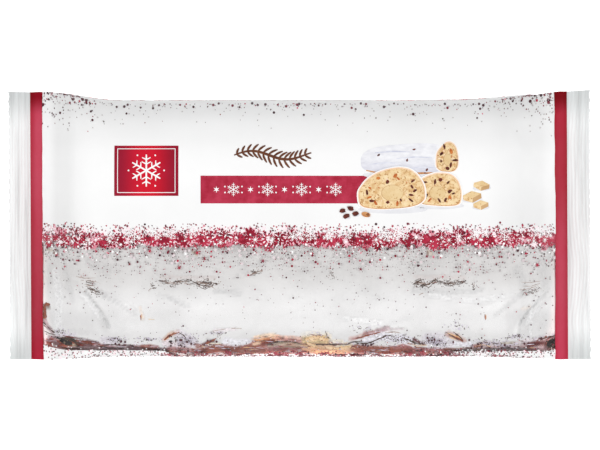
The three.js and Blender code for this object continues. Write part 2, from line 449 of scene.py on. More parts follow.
CREASES = [  # lines in x and s, the width and the height of each fold in the film
    ([(-112, -31), (-106, -37), (-100, -45), (-96, -55)], 1.5, 0.9),
    ([(-118, -28), (-104, -33), (-88, -38)], 1.3, 0.5),
    ([(127, -31), (119, -38), (112, -48), (110, -56)], 1.5, 0.9),
    ([(121, -30), (104, -36), (92, -40)], 1.3, 0.5),
    ([(-118, 8), (-119, 30), (-117, 52)], 3.2, -0.4),
    ([(115, 4), (117, 28), (114, 52)], 3.6, -0.5),
    ([(121, 20), (117, 36), (107, 47)], 2.6, 0.3),
]


def wrinkles(x, s):
    """How far the film stands out from the smooth tube."""
    inward = from_seal(x)
    fan = np.stack([s * (1 + 0.004 * np.maximum(inward, 0)) + 300 * (x > 0), 0.12 * inward], -1)
    near_seal = smooth(inward / 4) * (1 - smooth((inward - 4) / 30))
    pleats = 0.42 * field(fan, 9, 11, 3) * near_seal
    sway = 0.45 * field(np.stack([x, s], -1), 46, 21, 3) * smooth(inward / 20)
    creases = sum(height * ridge(x, s, line, width) for line, width, height in CREASES)
    on_base = smooth((np.abs(s) - HALF_GIRTH + PANEL) / 8)
    return (pleats + sway + creases) * (1 - 0.8 * on_base)


def film_stations():
    """Places along X of the film's rings, closest together in the seals."""
    left = [-HALF_LENGTH, -INNER[-1], PRINT_LEFT, TOP_SLOPE - INNER[-1]]
    right = [INNER[1] - TOP_SLOPE, PRINT_RIGHT, INNER[1], HALF_LENGTH]
    edges, steps = left + right, [0.24, 0.6, 0.9, 1.4, 0.9, 0.6, 0.24]
    stretches = [along(*stretch) for stretch in zip(edges, edges[1:], steps)]
    return np.concatenate([*stretches, [HALF_LENGTH]])


def film_round():
    """Places round the film, from the middle of the base over -Y, the top and +Y. Four fit on a tooth."""
    panel = np.linspace(0, PANEL, 2 * TEETH + 1)
    gusset = np.linspace(PANEL, HALF_GIRTH - PANEL, 21)[1:-1]
    half = np.concatenate([panel, gusset, (HALF_GIRTH - panel)[::-1]])
    return np.concatenate([-half[::-1], half[1:-1]])


FILM_X, FILM_S = film_stations(), film_round()


def film_surface():
    """The film's grid of points and its normals, wrinkled."""
    x, s = np.meshgrid(FILM_X, FILM_S, indexing="ij")
    points = shape_seals(smooth_film(x, s), x, from_seal(x))

    def normals():
        ahead = np.gradient(points, axis=0)
        beside = np.roll(points, -1, axis=1) - np.roll(points, 1, axis=1)
        across = np.cross(ahead, beside)
        return across / np.maximum(np.linalg.norm(across, axis=-1, keepdims=True), 1e-9)

    points = points + normals() * wrinkles(x, s)[..., None]
    points[..., 2] = np.maximum(points[..., 2], BASE_LIFT)
    points[..., 0] -= SKEW * points[..., 1]
    return points, normals()


FILM_POINTS, FILM_NORMALS = film_surface()


def before(stations, at):
    """The station before each place, and how far the place is from there to the next one, from 0 to 1."""
    index = np.clip(np.searchsorted(stations, at) - 1, 0, len(stations) - 2)
    return index, (at - stations[index]) / (stations[index + 1] - stations[index])


def on_film(x, s):
    """Points and normals of the wrinkled film at any places on it."""
    i, u = before(FILM_X, x)
    j, v = before(FILM_S, s)

    def blend(grid):
        low = grid[i, j] * (1 - u[:, None]) + grid[i + 1, j] * u[:, None]
        high = grid[i, j + 1] * (1 - u[:, None]) + grid[i + 1, j + 1] * u[:, None]
        return low * (1 - v[:, None]) + high * v[:, None]

    return blend(FILM_POINTS), blend(FILM_NORMALS)


def film_caps(rings, size):
    """Faces that close the two saw-tooth edges, top film to bottom film."""
    middle, reach = size // 2, 2 * TEETH
    caps = []
    for start, forward in ((0, True), ((rings - 1) * size, False)):
        for k in range(-reach, reach):
            low = [start + (-m) % size for m in (k, k + 1)]
            high = [start + middle + m for m in (k, k + 1)]
            before_low, after_high = [], []  # the gusset's points, at the two ends of the seal
            if k == -reach:
                before_low = [start + g for g in range(reach + 1, middle - reach)]
            elif k == reach - 1:
                after_high = [start + g for g in range(middle + reach + 1, size - reach)]
            face = [*high, *after_high, low[1], low[0], *before_low]
            caps.append(face if forward else face[::-1])
    return caps


def make_film():
    """The printed film with its clear window and its end seals, as one skin that replaces the CAD's pack."""
    rings, size = FILM_POINTS.shape[:2]
    quads = ring_faces(rings, size)
    i, j = quads[:, 0] // size, quads[:, 0] % size
    x = (FILM_X[i] + FILM_X[i + 1]) / 2
    s = FILM_S[j] + 0.5  # about the middle of the quad
    white, clear, pressed, left_crimson, right_crimson = range(5)
    kind = np.full(len(quads), white)
    kind[(s > window_foot(x) - HEM / 2) & (s < WINDOW_TOP)] = clear
    kind[x < PRINT_LEFT] = left_crimson
    kind[x > PRINT_RIGHT] = right_crimson
    kind[from_seal(x) < 0] = pressed
    caps = film_caps(rings, size)
    kinds = np.concatenate([kind, np.full(len(caps), pressed)])
    materials = [WHITE_FILM, CLEAR_FILM, SEAL_FILM, STRIPE_FILMS[-1], STRIPE_FILMS[1]]
    faces = quads.tolist() + caps
    film = make_piece("film", FILM_POINTS.reshape(-1, 3), faces, materials, kinds, sharp=55)
    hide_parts(PACK)


make_film()


# ---------------------------------------------------------------- the print
random = np.random.default_rng(24)


def ink_look(name, patch, *colours):
    return patterned(name, colours, patch, 0.45, 1.5, 0.004, Specular_IOR_Level=0.3)


CRIMSON_INK = [
    ink_look("crimson_ink", 5, (164, 28, 54), (188, 54, 80)),
    ink_look("deep_crimson_ink", 5, (124, 8, 32), (152, 24, 50)),
    ink_look("rose_ink", 5, (204, 104, 124), (224, 146, 160)),
]
DARK_INK = [
    ink_look("dark_ink", 5, (58, 30, 36), (92, 50, 58)),
    ink_look("grey_ink", 5, (120, 104, 106), (166, 156, 158)),
    ink_look("brown_ink", 5, (92, 52, 34), (112, 68, 44)),
    ink_look("raisin_ink", 2, (66, 30, 28), (120, 54, 38)),
    ink_look("pale_grey_ink", 5, (196, 192, 192), (216, 212, 212)),
    ink_look("maroon_ink", 5, (104, 22, 42), (140, 40, 62)),
]
BLACKISH, GREY, BROWN, RAISIN, PALE_GREY, MAROON = range(6)  # of the dark inks
WHITE_INK = [
    ink_look("white_ink", 8, (246, 245, 246), (252, 252, 252)),
    ink_look("sugar_ink", 5, (204, 206, 222), (238, 239, 245)),
    ink_look("pink_haze_ink", 4, (248, 226, 231), (252, 238, 242)),
    ink_look("grey_haze_ink", 4, (214, 200, 203), (224, 214, 217)),
    ink_look("rose_rim_ink", 4, (226, 160, 174), (240, 196, 206)),
    patterned("sugared_ink", [(228, 228, 234), (247, 247, 250)], 2.5, 0.45, 1.5, 0.004,
              [("Y", 36, 25, (228, 228, 236))], (2, 1, 1), Specular_IOR_Level=0.3),
    ink_look("soft_shadow_ink", 6, (222, 222, 226), (231, 231, 234)),
]
PLAIN_WHITE, SUGAR, PINK_HAZE, GREY_HAZE, ROSE_RIM, SUGARED, SOFT_SHADOW = range(7)  # of the white inks
TAN_INK = [
    flecked(ink_look("crumb_ink", 2.5, (214, 170, 116), (236, 206, 158), (244, 222, 180)),
            (192, 144, 92), 1.1, 0.62),
    flecked(ink_look("crust_ink", 3, (184, 120, 70), (218, 164, 112)), (140, 86, 52), 1.6, 0.62),
    flecked(ink_look("marzipan_ink", 5, (224, 192, 140), (236, 210, 164)), (204, 164, 112), 0.9, 0.64),
    ink_look("shaded_marzipan_ink", 5, (190, 150, 104), (210, 172, 126)),
    ink_look("peel_ink", 2, (176, 84, 40), (214, 132, 66)),
    ink_look("peach_rim_ink", 4, (244, 206, 168), (252, 228, 204)),
]
CRUMB, CRUST, MARZIPAN, SHADED, PEEL, RIM = range(6)  # of the tan inks
INK_DEPTH = 0.03  # how far a patch of ink reaches into the film
HAZE_HEIGHT, FIELD_HEIGHT = 0.05, 0.1  # of the pale blots, and of the label and the banner, over the film


def counter_clockwise(points, triangle):
    a, b, c = (points[k] for k in triangle)
    area = (b[0] - a[0]) * (c[1] - a[1]) - (c[0] - a[0]) * (b[1] - a[1])
    return triangle if area > 0 else triangle[::-1]


def flat_shape(outline):
    """Points, triangles and rim of the flat shape inside an outline that runs counter-clockwise."""
    outline = np.asarray(outline, float)
    cut = tessellate_polygon([[Vector((*point, 0)) for point in outline]])
    triangles = np.array([counter_clockwise(outline, list(t)) for t in cut])
    index = np.arange(len(outline))
    return outline, triangles, np.stack([index, np.roll(index, -1)], -1)


def rounded_patch(outline, step):
    """The shape inside an outline round the origin, with rings of points between so that it can bend."""
    size = len(outline)
    rings = max(1, math.ceil(np.linalg.norm(outline, axis=1).max() / step))
    points = [np.zeros((1, 2))] + [outline * k / rings for k in range(1, rings + 1)]
    index = np.arange(size)
    beside = (index + 1) % size
    triangles = [np.stack([0 * index, 1 + index, 1 + beside], -1)]
    for k in range(rings - 1):
        inner, outer = 1 + k * size, 1 + (k + 1) * size
        triangles.append(np.stack([inner + index, outer + index, outer + beside], -1))
        triangles.append(np.stack([inner + index, outer + beside, inner + beside], -1))
    last = 1 + (rings - 1) * size
    return np.concatenate(points), np.concatenate(triangles), np.stack([last + index, last + beside], -1)


def grid_patch(columns, rows):
    """Triangles and rim of a patch of points in columns along x and rows along s."""
    i, j = (a.ravel() for a in np.meshgrid(np.arange(columns - 1), np.arange(rows - 1), indexing="ij"))
    a, b = i * rows + j, (i + 1) * rows + j
    triangles = np.concatenate([np.stack([a, b, b + 1], -1), np.stack([a, b + 1, a + 1], -1)])
    low, side = np.arange(columns) * rows, np.arange(rows)
    loop = np.concatenate([low, low[-1] + side[1:], (low + rows - 1)[-2::-1], side[-2:0:-1]])
    return triangles, np.stack([loop, np.roll(loop, -1)], -1)


def circle_points(angle):
    return np.stack([np.cos(angle), np.sin(angle)], -1)


def disc(sides):
    return circle_points(2 * math.pi * (np.arange(sides) + 0.5) / sides)


def star(points, inner):
    turn = np.arange(2 * points)
    return np.where(turn % 2, inner, 1)[:, None] * circle_points(turn * math.pi / points)


def snowflake(width, barbs, thick):
    """Outline of a six-armed flake of radius 1. Its barbs are given by place along the arm and length,
    and are kept short enough to stay clear of the next arm's."""
    side = []
    for at, length in barbs:
        length = min(length, 1.6 * (0.577 * at - width))
        tip = (at + length * 0.5, width + length * 0.87)
        side += [(at, width), tip, (tip[0] + 0.7 * thick, tip[1]), (at + thick, width)]
    side.append((1, width * 0.8))
    notch = (width * 3**0.5, -width)
    arm = [notch, *((px, -py) for px, py in side), *side[::-1]]
    return np.concatenate([turned(arm, math.radians(60 * k)) for k in range(6)])


def burst(arms, heart, width, seed):
    """Outline of a flake of radius 1 with a solid heart and thin arms of uneven length."""
    draw = np.random.default_rng(seed)
    outline = []
    for k in range(arms):
        length = draw.uniform(0.658, 0.94)
        angle = 2 * math.pi * (k + draw.uniform(-0.14, 0.14)) / arms
        outline += [turned((length, b), angle) for b in (-width, width)]
        outline.append(turned((heart, 0), 2 * math.pi * (k + 0.5) / arms))
    return outline


DOT = flat_shape(disc(6))
ROUND_DOT = flat_shape(disc(9))
STAR = flat_shape(star(5, 0.45))
SHARP_STAR = flat_shape(star(6, 0.35))
BOLD_FLAKE = flat_shape(snowflake(0.1, [(0.55, 0.34)], 0.18))
FINE_FLAKE = flat_shape(snowflake(0.05, [(0.38, 0.3), (0.66, 0.24)], 0.09))
BURSTS = [flat_shape(burst(9, 0.4784, 0.1, seed)) for seed in range(4)]
HALO = flat_shape(star(9, 0.6))
RAYS = flat_shape(star(8, 0.16))


class Patches:
    """Patches laid on a surface, which become one piece. Heights are above the surface, and
    surface(x, s) gives its points and normals."""

    def __init__(self, name, slot, materials, low, high, surface=on_film):
        self.name, self.slot, self.materials = name, slot, materials
        self.low, self.high, self.surface = low, high, surface
        self.points, self.faces, self.kinds, self.count = [], [], [], 0

    def lay(self, x, s, triangles, rim, heights=None, kind=0):
        """Lays patches with the same faces: x and s have a row of points for each patch."""
        copies, size = x.shape
        if heights is None:
            heights = random.uniform(self.low, self.high, (copies, 1))
        place, normal = self.surface(x.ravel(), s.ravel())
        rise = np.broadcast_to(heights, (copies, size)).reshape(-1, 1)
        both = np.stack([place + normal * rise, place - normal * INK_DEPTH])
        self.points.append(both.reshape(2, copies, size, 3).transpose(1, 0, 2, 3).reshape(-1, 3))
        walls = np.stack([rim[:, 0] + size, rim[:, 1] + size, rim[:, 1], rim[:, 0]], -1)
        start = self.count + 2 * size * np.arange(copies)[:, None, None]
        kinds = np.broadcast_to(kind, copies)
        for faces in (triangles, triangles[:, ::-1] + size, walls):
            self.faces += (start + faces).reshape(-1, faces.shape[1]).tolist()
            self.kinds.append(np.repeat(kinds, len(faces)))
        self.count += 2 * size * copies

    def lay_grid(self, places, heights=None, kind=0):
        """Lays one patch whose places are in columns along x and rows along s."""
        x, s = places.reshape(-1, 2).T[:, None]
        self.lay(x, s, *grid_patch(*places.shape[:2]), heights, kind)

    def stamp(self, shape, x, s, size, turn=None, kind=0, heights=None, upright=False):
        """Lays copies of a shape of radius 1. If upright, they keep that shape when seen from above."""
        points, triangles, rim = shape
        x, s, size = (np.atleast_1d(np.asarray(a, float)) for a in (x, s, size))
        if turn is None:
            turn = random.uniform(0, 2 * math.pi, len(x))
        cos, sin = (np.atleast_1d(part(turn))[:, None] * size[:, None] for part in (np.cos, np.sin))
        px = x[:, None] + cos * points[:, 0] - sin * points[:, 1]
        across = sin * points[:, 0] + cos * points[:, 1]
        if upright:
            across /= np.clip(np.abs(self.surface(x, s)[1][:, 2:]), 0.3, 1)
        self.lay(np.clip(px, *WHOLE), s[:, None] + across, triangles, rim, heights, kind)

    def dots(self, places, shape, sizes, kind=0, heights=None, upright=False):
        """Stamps a shape on places, in sizes drawn from a range."""
        x, s = places
        self.stamp(shape, x, s, random.uniform(*sizes, len(x)), kind=kind, heights=heights, upright=upright)

    def make(self):
        points, kinds = np.concatenate(self.points), np.concatenate(self.kinds)
        make_piece(self.name, points, self.faces, self.materials, kinds)


crimson = Patches("crimson_print", "ink_crimson", CRIMSON_INK, 0.06, 0.1)
dark = Patches("dark_print", "ink_dark", DARK_INK, 0.168, 0.178)
white = Patches("white_print", "ink_white", WHITE_INK, 0.18, 0.2)


def scatter(ink, shape, count, line, offset, sizes, span=WHOLE, upright=False):
    """Strews a shape along a line of the pack, offset(count) away from it."""
    x = random.uniform(*span, count)
    kind = random.choice(3, count, p=[0.6, 0.22, 0.18]) if ink is crimson else PLAIN_WHITE
    size = random.uniform(*sizes, count)
    ink.stamp(shape, x, line(x) + offset(count), size, kind=kind, upright=upright)


def spaced(line, side, start, reach, cell, share, furthest, span=WHOLE):
    """Places beside a line that keep apart from each other and thin out away from it."""
    x, away = np.meshgrid(np.arange(*span, cell), np.arange(0, furthest * reach, cell))
    x, away = ((a + random.uniform(-0.45, 0.45, a.shape) * cell).ravel() for a in (x, away))
    kept = random.random(x.size) < share * np.exp(-np.maximum(away, 0) / reach)
    x = x[kept]
    return x, line(x) + side * (start + away[kept])


def strew(line, rows, span=WHOLE, upright=False):
    """Puts dots beside a line. A row has what spaced() takes, the shape and its sizes, and how much of it
    is blackish, grey and maroon. What is left is crimson."""
    for spacing, shape, sizes, darks in rows:
        x, s = spaced(line, *spacing, span)
        size = random.uniform(*sizes, len(x))
        draw = random.random(len(x))
        limits = np.cumsum(darks)
        for kind, low, high in zip((BLACKISH, GREY, MAROON), (0, *limits), limits):
            mine = (draw >= low) & (draw < high)
            if mine.any():
                dark.stamp(shape, x[mine], s[mine], size[mine], kind=kind, upright=upright)
        mine = draw >= limits[-1]
        if mine.any():
            kinds = random.choice(3, mine.sum(), p=[0.66, 0.26, 0.08])
            crimson.stamp(shape, x[mine], s[mine], size[mine], kind=kinds, upright=upright)


def stamp_bursts(x, s, size, kind, heights=None):
    """Lays crimson flakes of the four shapes in turn."""
    for k, shape in enumerate(BURSTS):
        mine = np.arange(len(x)) % len(BURSTS) == k
        if mine.any():
            rise = None if heights is None else heights[mine, None]
            crimson.stamp(shape, x[mine], s[mine], size[mine], kind=kind[mine], heights=rise)


def heap_flakes(line, pitch, reach, height=None):
    """Heaps of crimson flakes so close that they run together."""
    for start in np.arange(*WHOLE, pitch):
        count = random.integers(2, 7)
        x = start + random.uniform(0, pitch) + random.normal(0, 0.35 * reach, count)
        s = line(x) + random.normal(0, 0.35 * reach, count)
        rise = None if height is None else height + 0.0015 * np.arange(count)
        stamp_bursts(x, s, random.uniform(1.3, 2.6, count), random.choice(2, count, p=[0.6, 0.4]), rise)


def flake_row(line, pitch, sizes, starred):
    """Crimson flakes that overlap like scales. A pale rim sets each off from those below, and a share of
    them carries a white star."""
    count = int((PRINT_RIGHT - PRINT_LEFT) / pitch)
    x = PRINT_LEFT + pitch * (np.arange(count) + 0.5 + random.uniform(-0.35, 0.35, count))
    s = line(x) + random.normal(0, 1.0, count)
    size = random.uniform(*sizes, count)
    level = 0.104 + 0.006 * (5 * np.arange(count) % 8)  # neighbours lie at different heights
    rims = random.choice([PINK_HAZE, ROSE_RIM], count, p=[0.35, 0.65])
    white.stamp(HALO, x, s, size, kind=rims, heights=level[:, None])
    stamp_bursts(x, s, size, random.choice(2, count, p=[0.56, 0.44]), level + 0.003)
    rayed = random.random(count) < starred
    white.stamp(RAYS, x[rayed], s[rayed], 0.55 * size[rayed])
    white.stamp(ROUND_DOT, x[~rayed], s[~rayed], 0.1 * size[~rayed])


def flakes(line, share, spread, sizes=(1.4, 3.0)):
    """Smaller crimson flakes that overlap along a line."""
    count = int(150 * share)
    x = random.uniform(*WHOLE, count)
    size = random.uniform(*sizes, count)
    s = line(x) + random.normal(0, spread, count)
    stamp_bursts(x, s, size, random.choice(3, count, p=[0.6, 0.25, 0.15]))
    scatter(crimson, BOLD_FLAKE, int(44 * share), line, lambda n: random.normal(0, 1.2 * spread, n), sizes)


def haze(line, side, start, reach, cell, share, furthest, sizes, kind):
    """Pale blots under the dots."""
    white.dots(spaced(line, side, start, reach, cell, share, furthest), DOT, sizes, kind, HAZE_HEIGHT)


def frost(line, share, side):
    """White flakes that nibble at the crimson from one side, and white grains all over it."""
    for shape, count, offset, sizes in (
        (FINE_FLAKE, 26, lambda n: side * random.uniform(1.6, 4.2, n), (2.2, 3.6)),
        (RAYS, 34, lambda n: random.normal(0.6 * side, 1.4, n), (1.0, 2.2)),
        (DOT, 120, lambda n: side * random.normal(0.9, 2.0, n), (0.18, 0.34)),
    ):
        scatter(white, shape, int(count * share), line, offset, sizes)


SNOWFALL = [
    ((-1, 3.8, 6.5, 2.9, 0.6, 2.6), ROUND_DOT, (0.34, 0.68), (0.5, 0, 0.3)),
    ((-1, 3.8, 5, 3.6, 0.36, 2.6), STAR, (0.55, 1.0), (0, 0, 0.35)),
    ((-1, 4.5, 5, 7.0, 0.5, 2.6), SHARP_STAR, (1.0, 1.6), (0, 0, 0.15)),
    ((-1, 2.6, 11, 1.9, 0.7, 3.4), DOT, (0.17, 0.34), (0.25, 0.5, 0.15)),
    ((-1, 4.5, 7, 2.2, 0.9, 2.0), DOT, (0.2, 0.38), (0.2, 0.5, 0.25)),
    ((-1, 8, 60, 4.2, 0.5, 1.0), DOT, (0.16, 0.34), (0.2, 0.6, 0.15)),
    ((-1, 14, 40, 15, 0.5, 1.2), DOT, (0.32, 0.5), (0.8, 0, 0.2)),
]


def snowfall(line):
    """Confetti below a line, sparser and sparser to the middle of the window."""
    strew(line, SNOWFALL)
    for shape, share, sizes in ((DOT, 0.28, (0.3, 0.62)), (SHARP_STAR, 0.12, (0.8, 1.4))):
        white.dots(spaced(line, -1, 3.2, 4, 3.4, share, 2.6), shape, sizes)


def window_edge(x):
    return WINDOW_TOP + 1.6 + 0.6 * noise(np.stack([x, 0 * x], -1), 17, 5)


def lower_edge(x):
    """It lies on the white border at both ends, and on the clear film between."""
    return np.interp(x, [-132, -110, -75, -50, 60, 80, 105, 132], [-65, -72, -77, -77, -77, -75, -71, -65])


def bottom_edge(x):
    """The lowest stretch of the window's lower edge, near the bottom of the near side."""
    return -92 + 0 * x


def far_edge(x):
    """It runs down the far side, and comes up into view at the two corners."""
    return 83 - 15 * np.exp(-from_seal(x) / 14)


def far_rim(x):
    """The far edge of the pack as it shows from above."""
    return 74 - 7 * np.exp(-from_seal(x) / 16)


def print_window_garland():
    """The garland along the window's upper edge, and the confetti on both sides of it."""
    haze(window_edge, 1, 0, 3.6, 1.1, 1.0, 1.8, (0.636, 1.166), PINK_HAZE)
    haze(window_edge, -1, 2.4, 7, 2.4, 0.45, 1.6, (0.424, 0.954), GREY_HAZE)
    flakes(window_edge, 1.5, 1.2, (1.6, 3.2))
    heap_flakes(lambda x: window_edge(x) + 0.2, 3.6, 2.6)
    flake_row(lambda x: window_edge(x) + 0.5, 5.4, (3.2, 4.7), 0.14)
    flake_row(lambda x: window_edge(x) - 0.7, 6.5, (2.4, 3.6), 0.05)
    heap_flakes(window_edge, 9, 2.2, 0.154)
    strew(window_edge, [
        ((1, 1.6, 3.6, 0.9, 1.0, 1.9), DOT, (0.2, 0.42), (0.1, 0.1, 0.4)),
        ((1, 1.6, 3.6, 2.8, 0.55, 2.2), ROUND_DOT, (0.42, 0.66), (0.5, 0, 0.44)),
        ((1, 1.8, 3.0, 1.5, 0.9, 1.7), STAR, (0.45, 0.95), (0, 0, 0.3)),
        ((-1, 1.4, 2.2, 1.4, 0.7, 2.6), DOT, (0.22, 0.44), (0.1, 0.1, 0.5)),
    ])
    frost(window_edge, 1, 1)
    snowfall(window_edge)


def print_hem():
    """The edge of the white print below the window, at both ends of the pack."""
    hem = Patches("window_hem", "film_print", [WHITE_FILM], 0.05, 0.05)
    for start, end in ((PRINT_LEFT, -62), (72, PRINT_RIGHT)):
        columns = np.linspace(start, end, int((end - start) / 0.9))
        x, below = np.meshgrid(columns, np.linspace(-HEM, 0, 5), indexing="ij")
        hem.lay_grid(np.stack([x, window_foot(x) + below], -1))
    hem.make()


DARK_CLUSTERS = [  # x, s, spread along and across, and number of dark dots over the foot
    (-63, -61.5, 9, 6, 18), (-45, -59.5, 5, 3, 5), (69, -59.5, 10, 7, 12), (90, -62, 10, 5, 9),
    (36, -61, 7, 4, 7), (-92, -60.5, 5, 3, 7), (111, -60, 8, 5, 9),
]
CRIMSON_CLUSTERS = [-69, -51, -38, -11.7, -1, 12, 55.5, 75.5, 101]  # x of denser crimson along the foot
MIDDLE, LEFT_END, RIGHT_END = (-66, 84), (PRINT_LEFT + 0.6, -66), (77, PRINT_RIGHT)  # spans of the lower edge


def print_lower_garland():
    """Loose flakes and dots over the loaf's foot, finer ones on the white border at both ends, and a row of
    flakes near the bottom of the near side."""
    for ink, shape, count, offset, sizes in (
        (crimson, BOLD_FLAKE, 16, lambda n: random.normal(-2, 3, n), (0.9, 1.8)),
        (crimson, STAR, 40, lambda n: random.normal(-1, 3.5, n), (0.4, 0.8)),
        (white, DOT, 70, lambda n: random.normal(1, 5, n), (0.2, 0.46)),
    ):
        scatter(ink, shape, count, lower_edge, offset, sizes, MIDDLE, True)
    for side, share in ((1, 0.45), (-1, 0.6)):
        strew(lower_edge, [
            ((side, 0, 5, 1.15, share, 2), DOT, (0.18, 0.38), (0.3, 0.16, 0.4)),
            ((side, 0, 5, 3.4, share, 2), ROUND_DOT, (0.34, 0.56), (0.5, 0, 0.35)),
        ], MIDDLE, True)
    for x in CRIMSON_CLUSTERS:
        count = 11
        places = x + random.normal(0, 1.6, count), -73 + random.normal(0, 1.8, count)
        sizes, kinds = random.uniform(0.5, 1.1, count), random.integers(0, 2, count)
        crimson.stamp(STAR, *places, sizes, kind=kinds, upright=True)
    for span, share in ((LEFT_END, 0.56), (RIGHT_END, 0.75)):
        blots = spaced(window_foot, -1, 0.6, 7, 1.9, 0.5, 1.2, span)
        white.dots(blots, ROUND_DOT, (0.5, 1.0), PINK_HAZE, HAZE_HEIGHT + 0.005)
        scatter(white, DOT, 26, window_foot, lambda n: random.uniform(-0.2, 2.2, n), (0.18, 0.36), span, True)
        strew(window_foot, [
            ((-1, 0.5, 9, 1.3, share, 1.4), DOT, (0.18, 0.36), (0.5, 0.1, 0.3)),
            ((-1, 1, 9, 4.0, 0.6 * share, 1.4), STAR, (0.4, 0.7), (0.4, 0, 0.4)),
        ], span, True)
    strew(window_foot, [((1, -0.5, 1.4, 1.2, 0.8, 1.4), DOT, (0.2, 0.4), (0.2, 0.1, 0.3))], RIGHT_END, True)
    for x, s, wide, high, count in DARK_CLUSTERS:
        places = x + wide * random.normal(0, 0.5, count), s + high * random.normal(0, 0.5, count)
        dark.dots(places, ROUND_DOT, (0.3, 0.6), BLACKISH, upright=True)
    flakes(bottom_edge, 0.5, 1.5)


def print_far_garland():
    """The flakes down the far side, and the dots over the rim, which are densest in its corners."""
    heap_flakes(far_edge, 7, 2.4)
    flakes(far_edge, 0.6, 1.2)
    strew(far_edge, [((1, 1, 5, 1.3, 0.7, 2.6), DOT, (0.22, 0.44), (0.2, 0.2, 0.3))])
    frost(far_edge, 0.6, -1)
    strew(far_rim, [
        ((-1, 4, 7, 1.5, 0.26, 3.0), DOT, (0.15, 0.28), (0.1, 0.8, 0.05)),
        ((-1, 4.2, 5, 3.6, 0.42, 2.4), ROUND_DOT, (0.44, 0.7), (0.7, 0, 0.26)),
        ((-1, 4, 5, 2.4, 0.28, 2.6), DOT, (0.24, 0.4), (0.4, 0.3, 0.25)),
    ], upright=True)
    dark.dots(spaced(far_rim, -1, 5, 9, 4.6, 0.5, 2.4), DOT, (0.3, 0.55), PALE_GREY)
    for span, share, start in (
        ((PRINT_LEFT, -120), 1, -1.5),
        ((118, PRINT_RIGHT), 1, -1.5),
        ((-120, -112), 0.3, 2.5),
        ((104, 118), 0.3, 2.5),
        ((-112, -98), 0.2, 5),
    ):
        strew(far_rim, [
            ((-1, start, 3, 1.3, share, 2.2), STAR, (0.4, 0.75), (0.4, 0, 0.52)),
            ((-1, start, 7, 2.9, share, 2.2), ROUND_DOT, (0.45, 0.8), (0.78, 0, 0.2)),
            ((-1, start, 9, 1.3, share, 2.2), DOT, (0.18, 0.36), (0.3, 0.5, 0.15)),
        ], span, True)
        dark.dots(spaced(far_rim, -1, 6, 9, 3.0, 0.7 * share, 2.2, span), DOT, (0.35, 0.6), PALE_GREY)


print_window_garland()
print_hem()
print_lower_garland()
print_far_garland()


def print_rectangle(ink, x, s, width, depth, height):
    """A rectangle with its lower left corner at x and s."""
    columns, rows = math.ceil(width / 1.2) + 1, math.ceil(depth / 1.2) + 1
    grid = np.meshgrid(np.linspace(x, x + width, columns), np.linspace(s, s + depth, rows), indexing="ij")
    ink.lay_grid(np.stack(grid, -1), height)


def print_frame(ink, x, s, width, depth, line, height):
    """A thin keyline just inside a rectangle."""
    print_rectangle(ink, x, s, width, line, height)
    print_rectangle(ink, x, s + depth - line, width, line, height)
    print_rectangle(ink, x, s + line, line, depth - 2 * line, height)
    print_rectangle(ink, x + width - line, s + line, line, depth - 2 * line, height)


LABEL_X, LABEL_S, LABEL_WIDTH, LABEL_DEPTH = -93.6, 16.4, 32.4, 25.8
BANNER_X, BANNER_S, BANNER_WIDTH, BANNER_DEPTH = -50.0, 12.6, 84.0, 14.0


def print_label():
    """A plain crimson label with a keyline and one snowflake."""
    look = patterned("label_ink", [(202, 10, 36), (210, 20, 48)], 22, 0.4, 1.5, 0.004, [
        ("X", -79, -92, (184, 246, 255)),
        ("X", -75, -63, (184, 246, 255)),
    ], Specular_IOR_Level=0.25)
    label = Patches("label_print", "ink_crimson", [look], FIELD_HEIGHT, FIELD_HEIGHT)
    print_rectangle(label, LABEL_X, LABEL_S, LABEL_WIDTH, LABEL_DEPTH, FIELD_HEIGHT)
    label.make()
    margin, line = 1.5, 0.35
    inner = LABEL_X + margin, LABEL_S + margin, LABEL_WIDTH - 2 * margin, LABEL_DEPTH - 2 * margin
    print_frame(white, *inner, line, FIELD_HEIGHT + 0.05)
    middle = np.array([LABEL_X + LABEL_WIDTH / 2, LABEL_S + LABEL_DEPTH / 2])
    flake, ring, dot = 8.2, 9, 0.45
    white.stamp(FINE_FLAKE, *middle, flake, turn=math.pi / 6)
    for k in range(6):
        white.stamp(ROUND_DOT, *(middle + turned((ring, 0), math.radians(60 * k))), dot)


def print_banner():
    """A crimson banner with a row of small white flakes and stars, and pairs of dots between them."""
    print_rectangle(crimson, BANNER_X, BANNER_S, BANNER_WIDTH, BANNER_DEPTH, FIELD_HEIGHT)
    middle, margin, pitch, count = BANNER_S + BANNER_DEPTH / 2, 8, 8.6, 8
    for k in range(count):
        x = BANNER_X + margin + pitch * k
        shape, size = (FINE_FLAKE, 3.4) if k % 2 else (SHARP_STAR, 1.7)
        white.stamp(shape, x, middle, size, turn=math.pi / 6)
        if k < count - 1:
            white.stamp(ROUND_DOT, [x + pitch / 2] * 2, [middle - 1.5, middle + 1.5], [0.42] * 2)


def tapered_stroke(ink, line, width, height, kind):
    """A brush stroke along a line of places, thin at both ends."""
    centre, across, share = walk(line, 0.9, 4)
    half = width / 2 * (0.3 + 0.7 * np.sin(math.pi * (0.08 + 0.84 * share)))
    rows = np.array([1, 0, -1])
    ink.lay_grid(centre[:, None] + across[:, None] * (half[:, None] * rows)[..., None], height, kind)


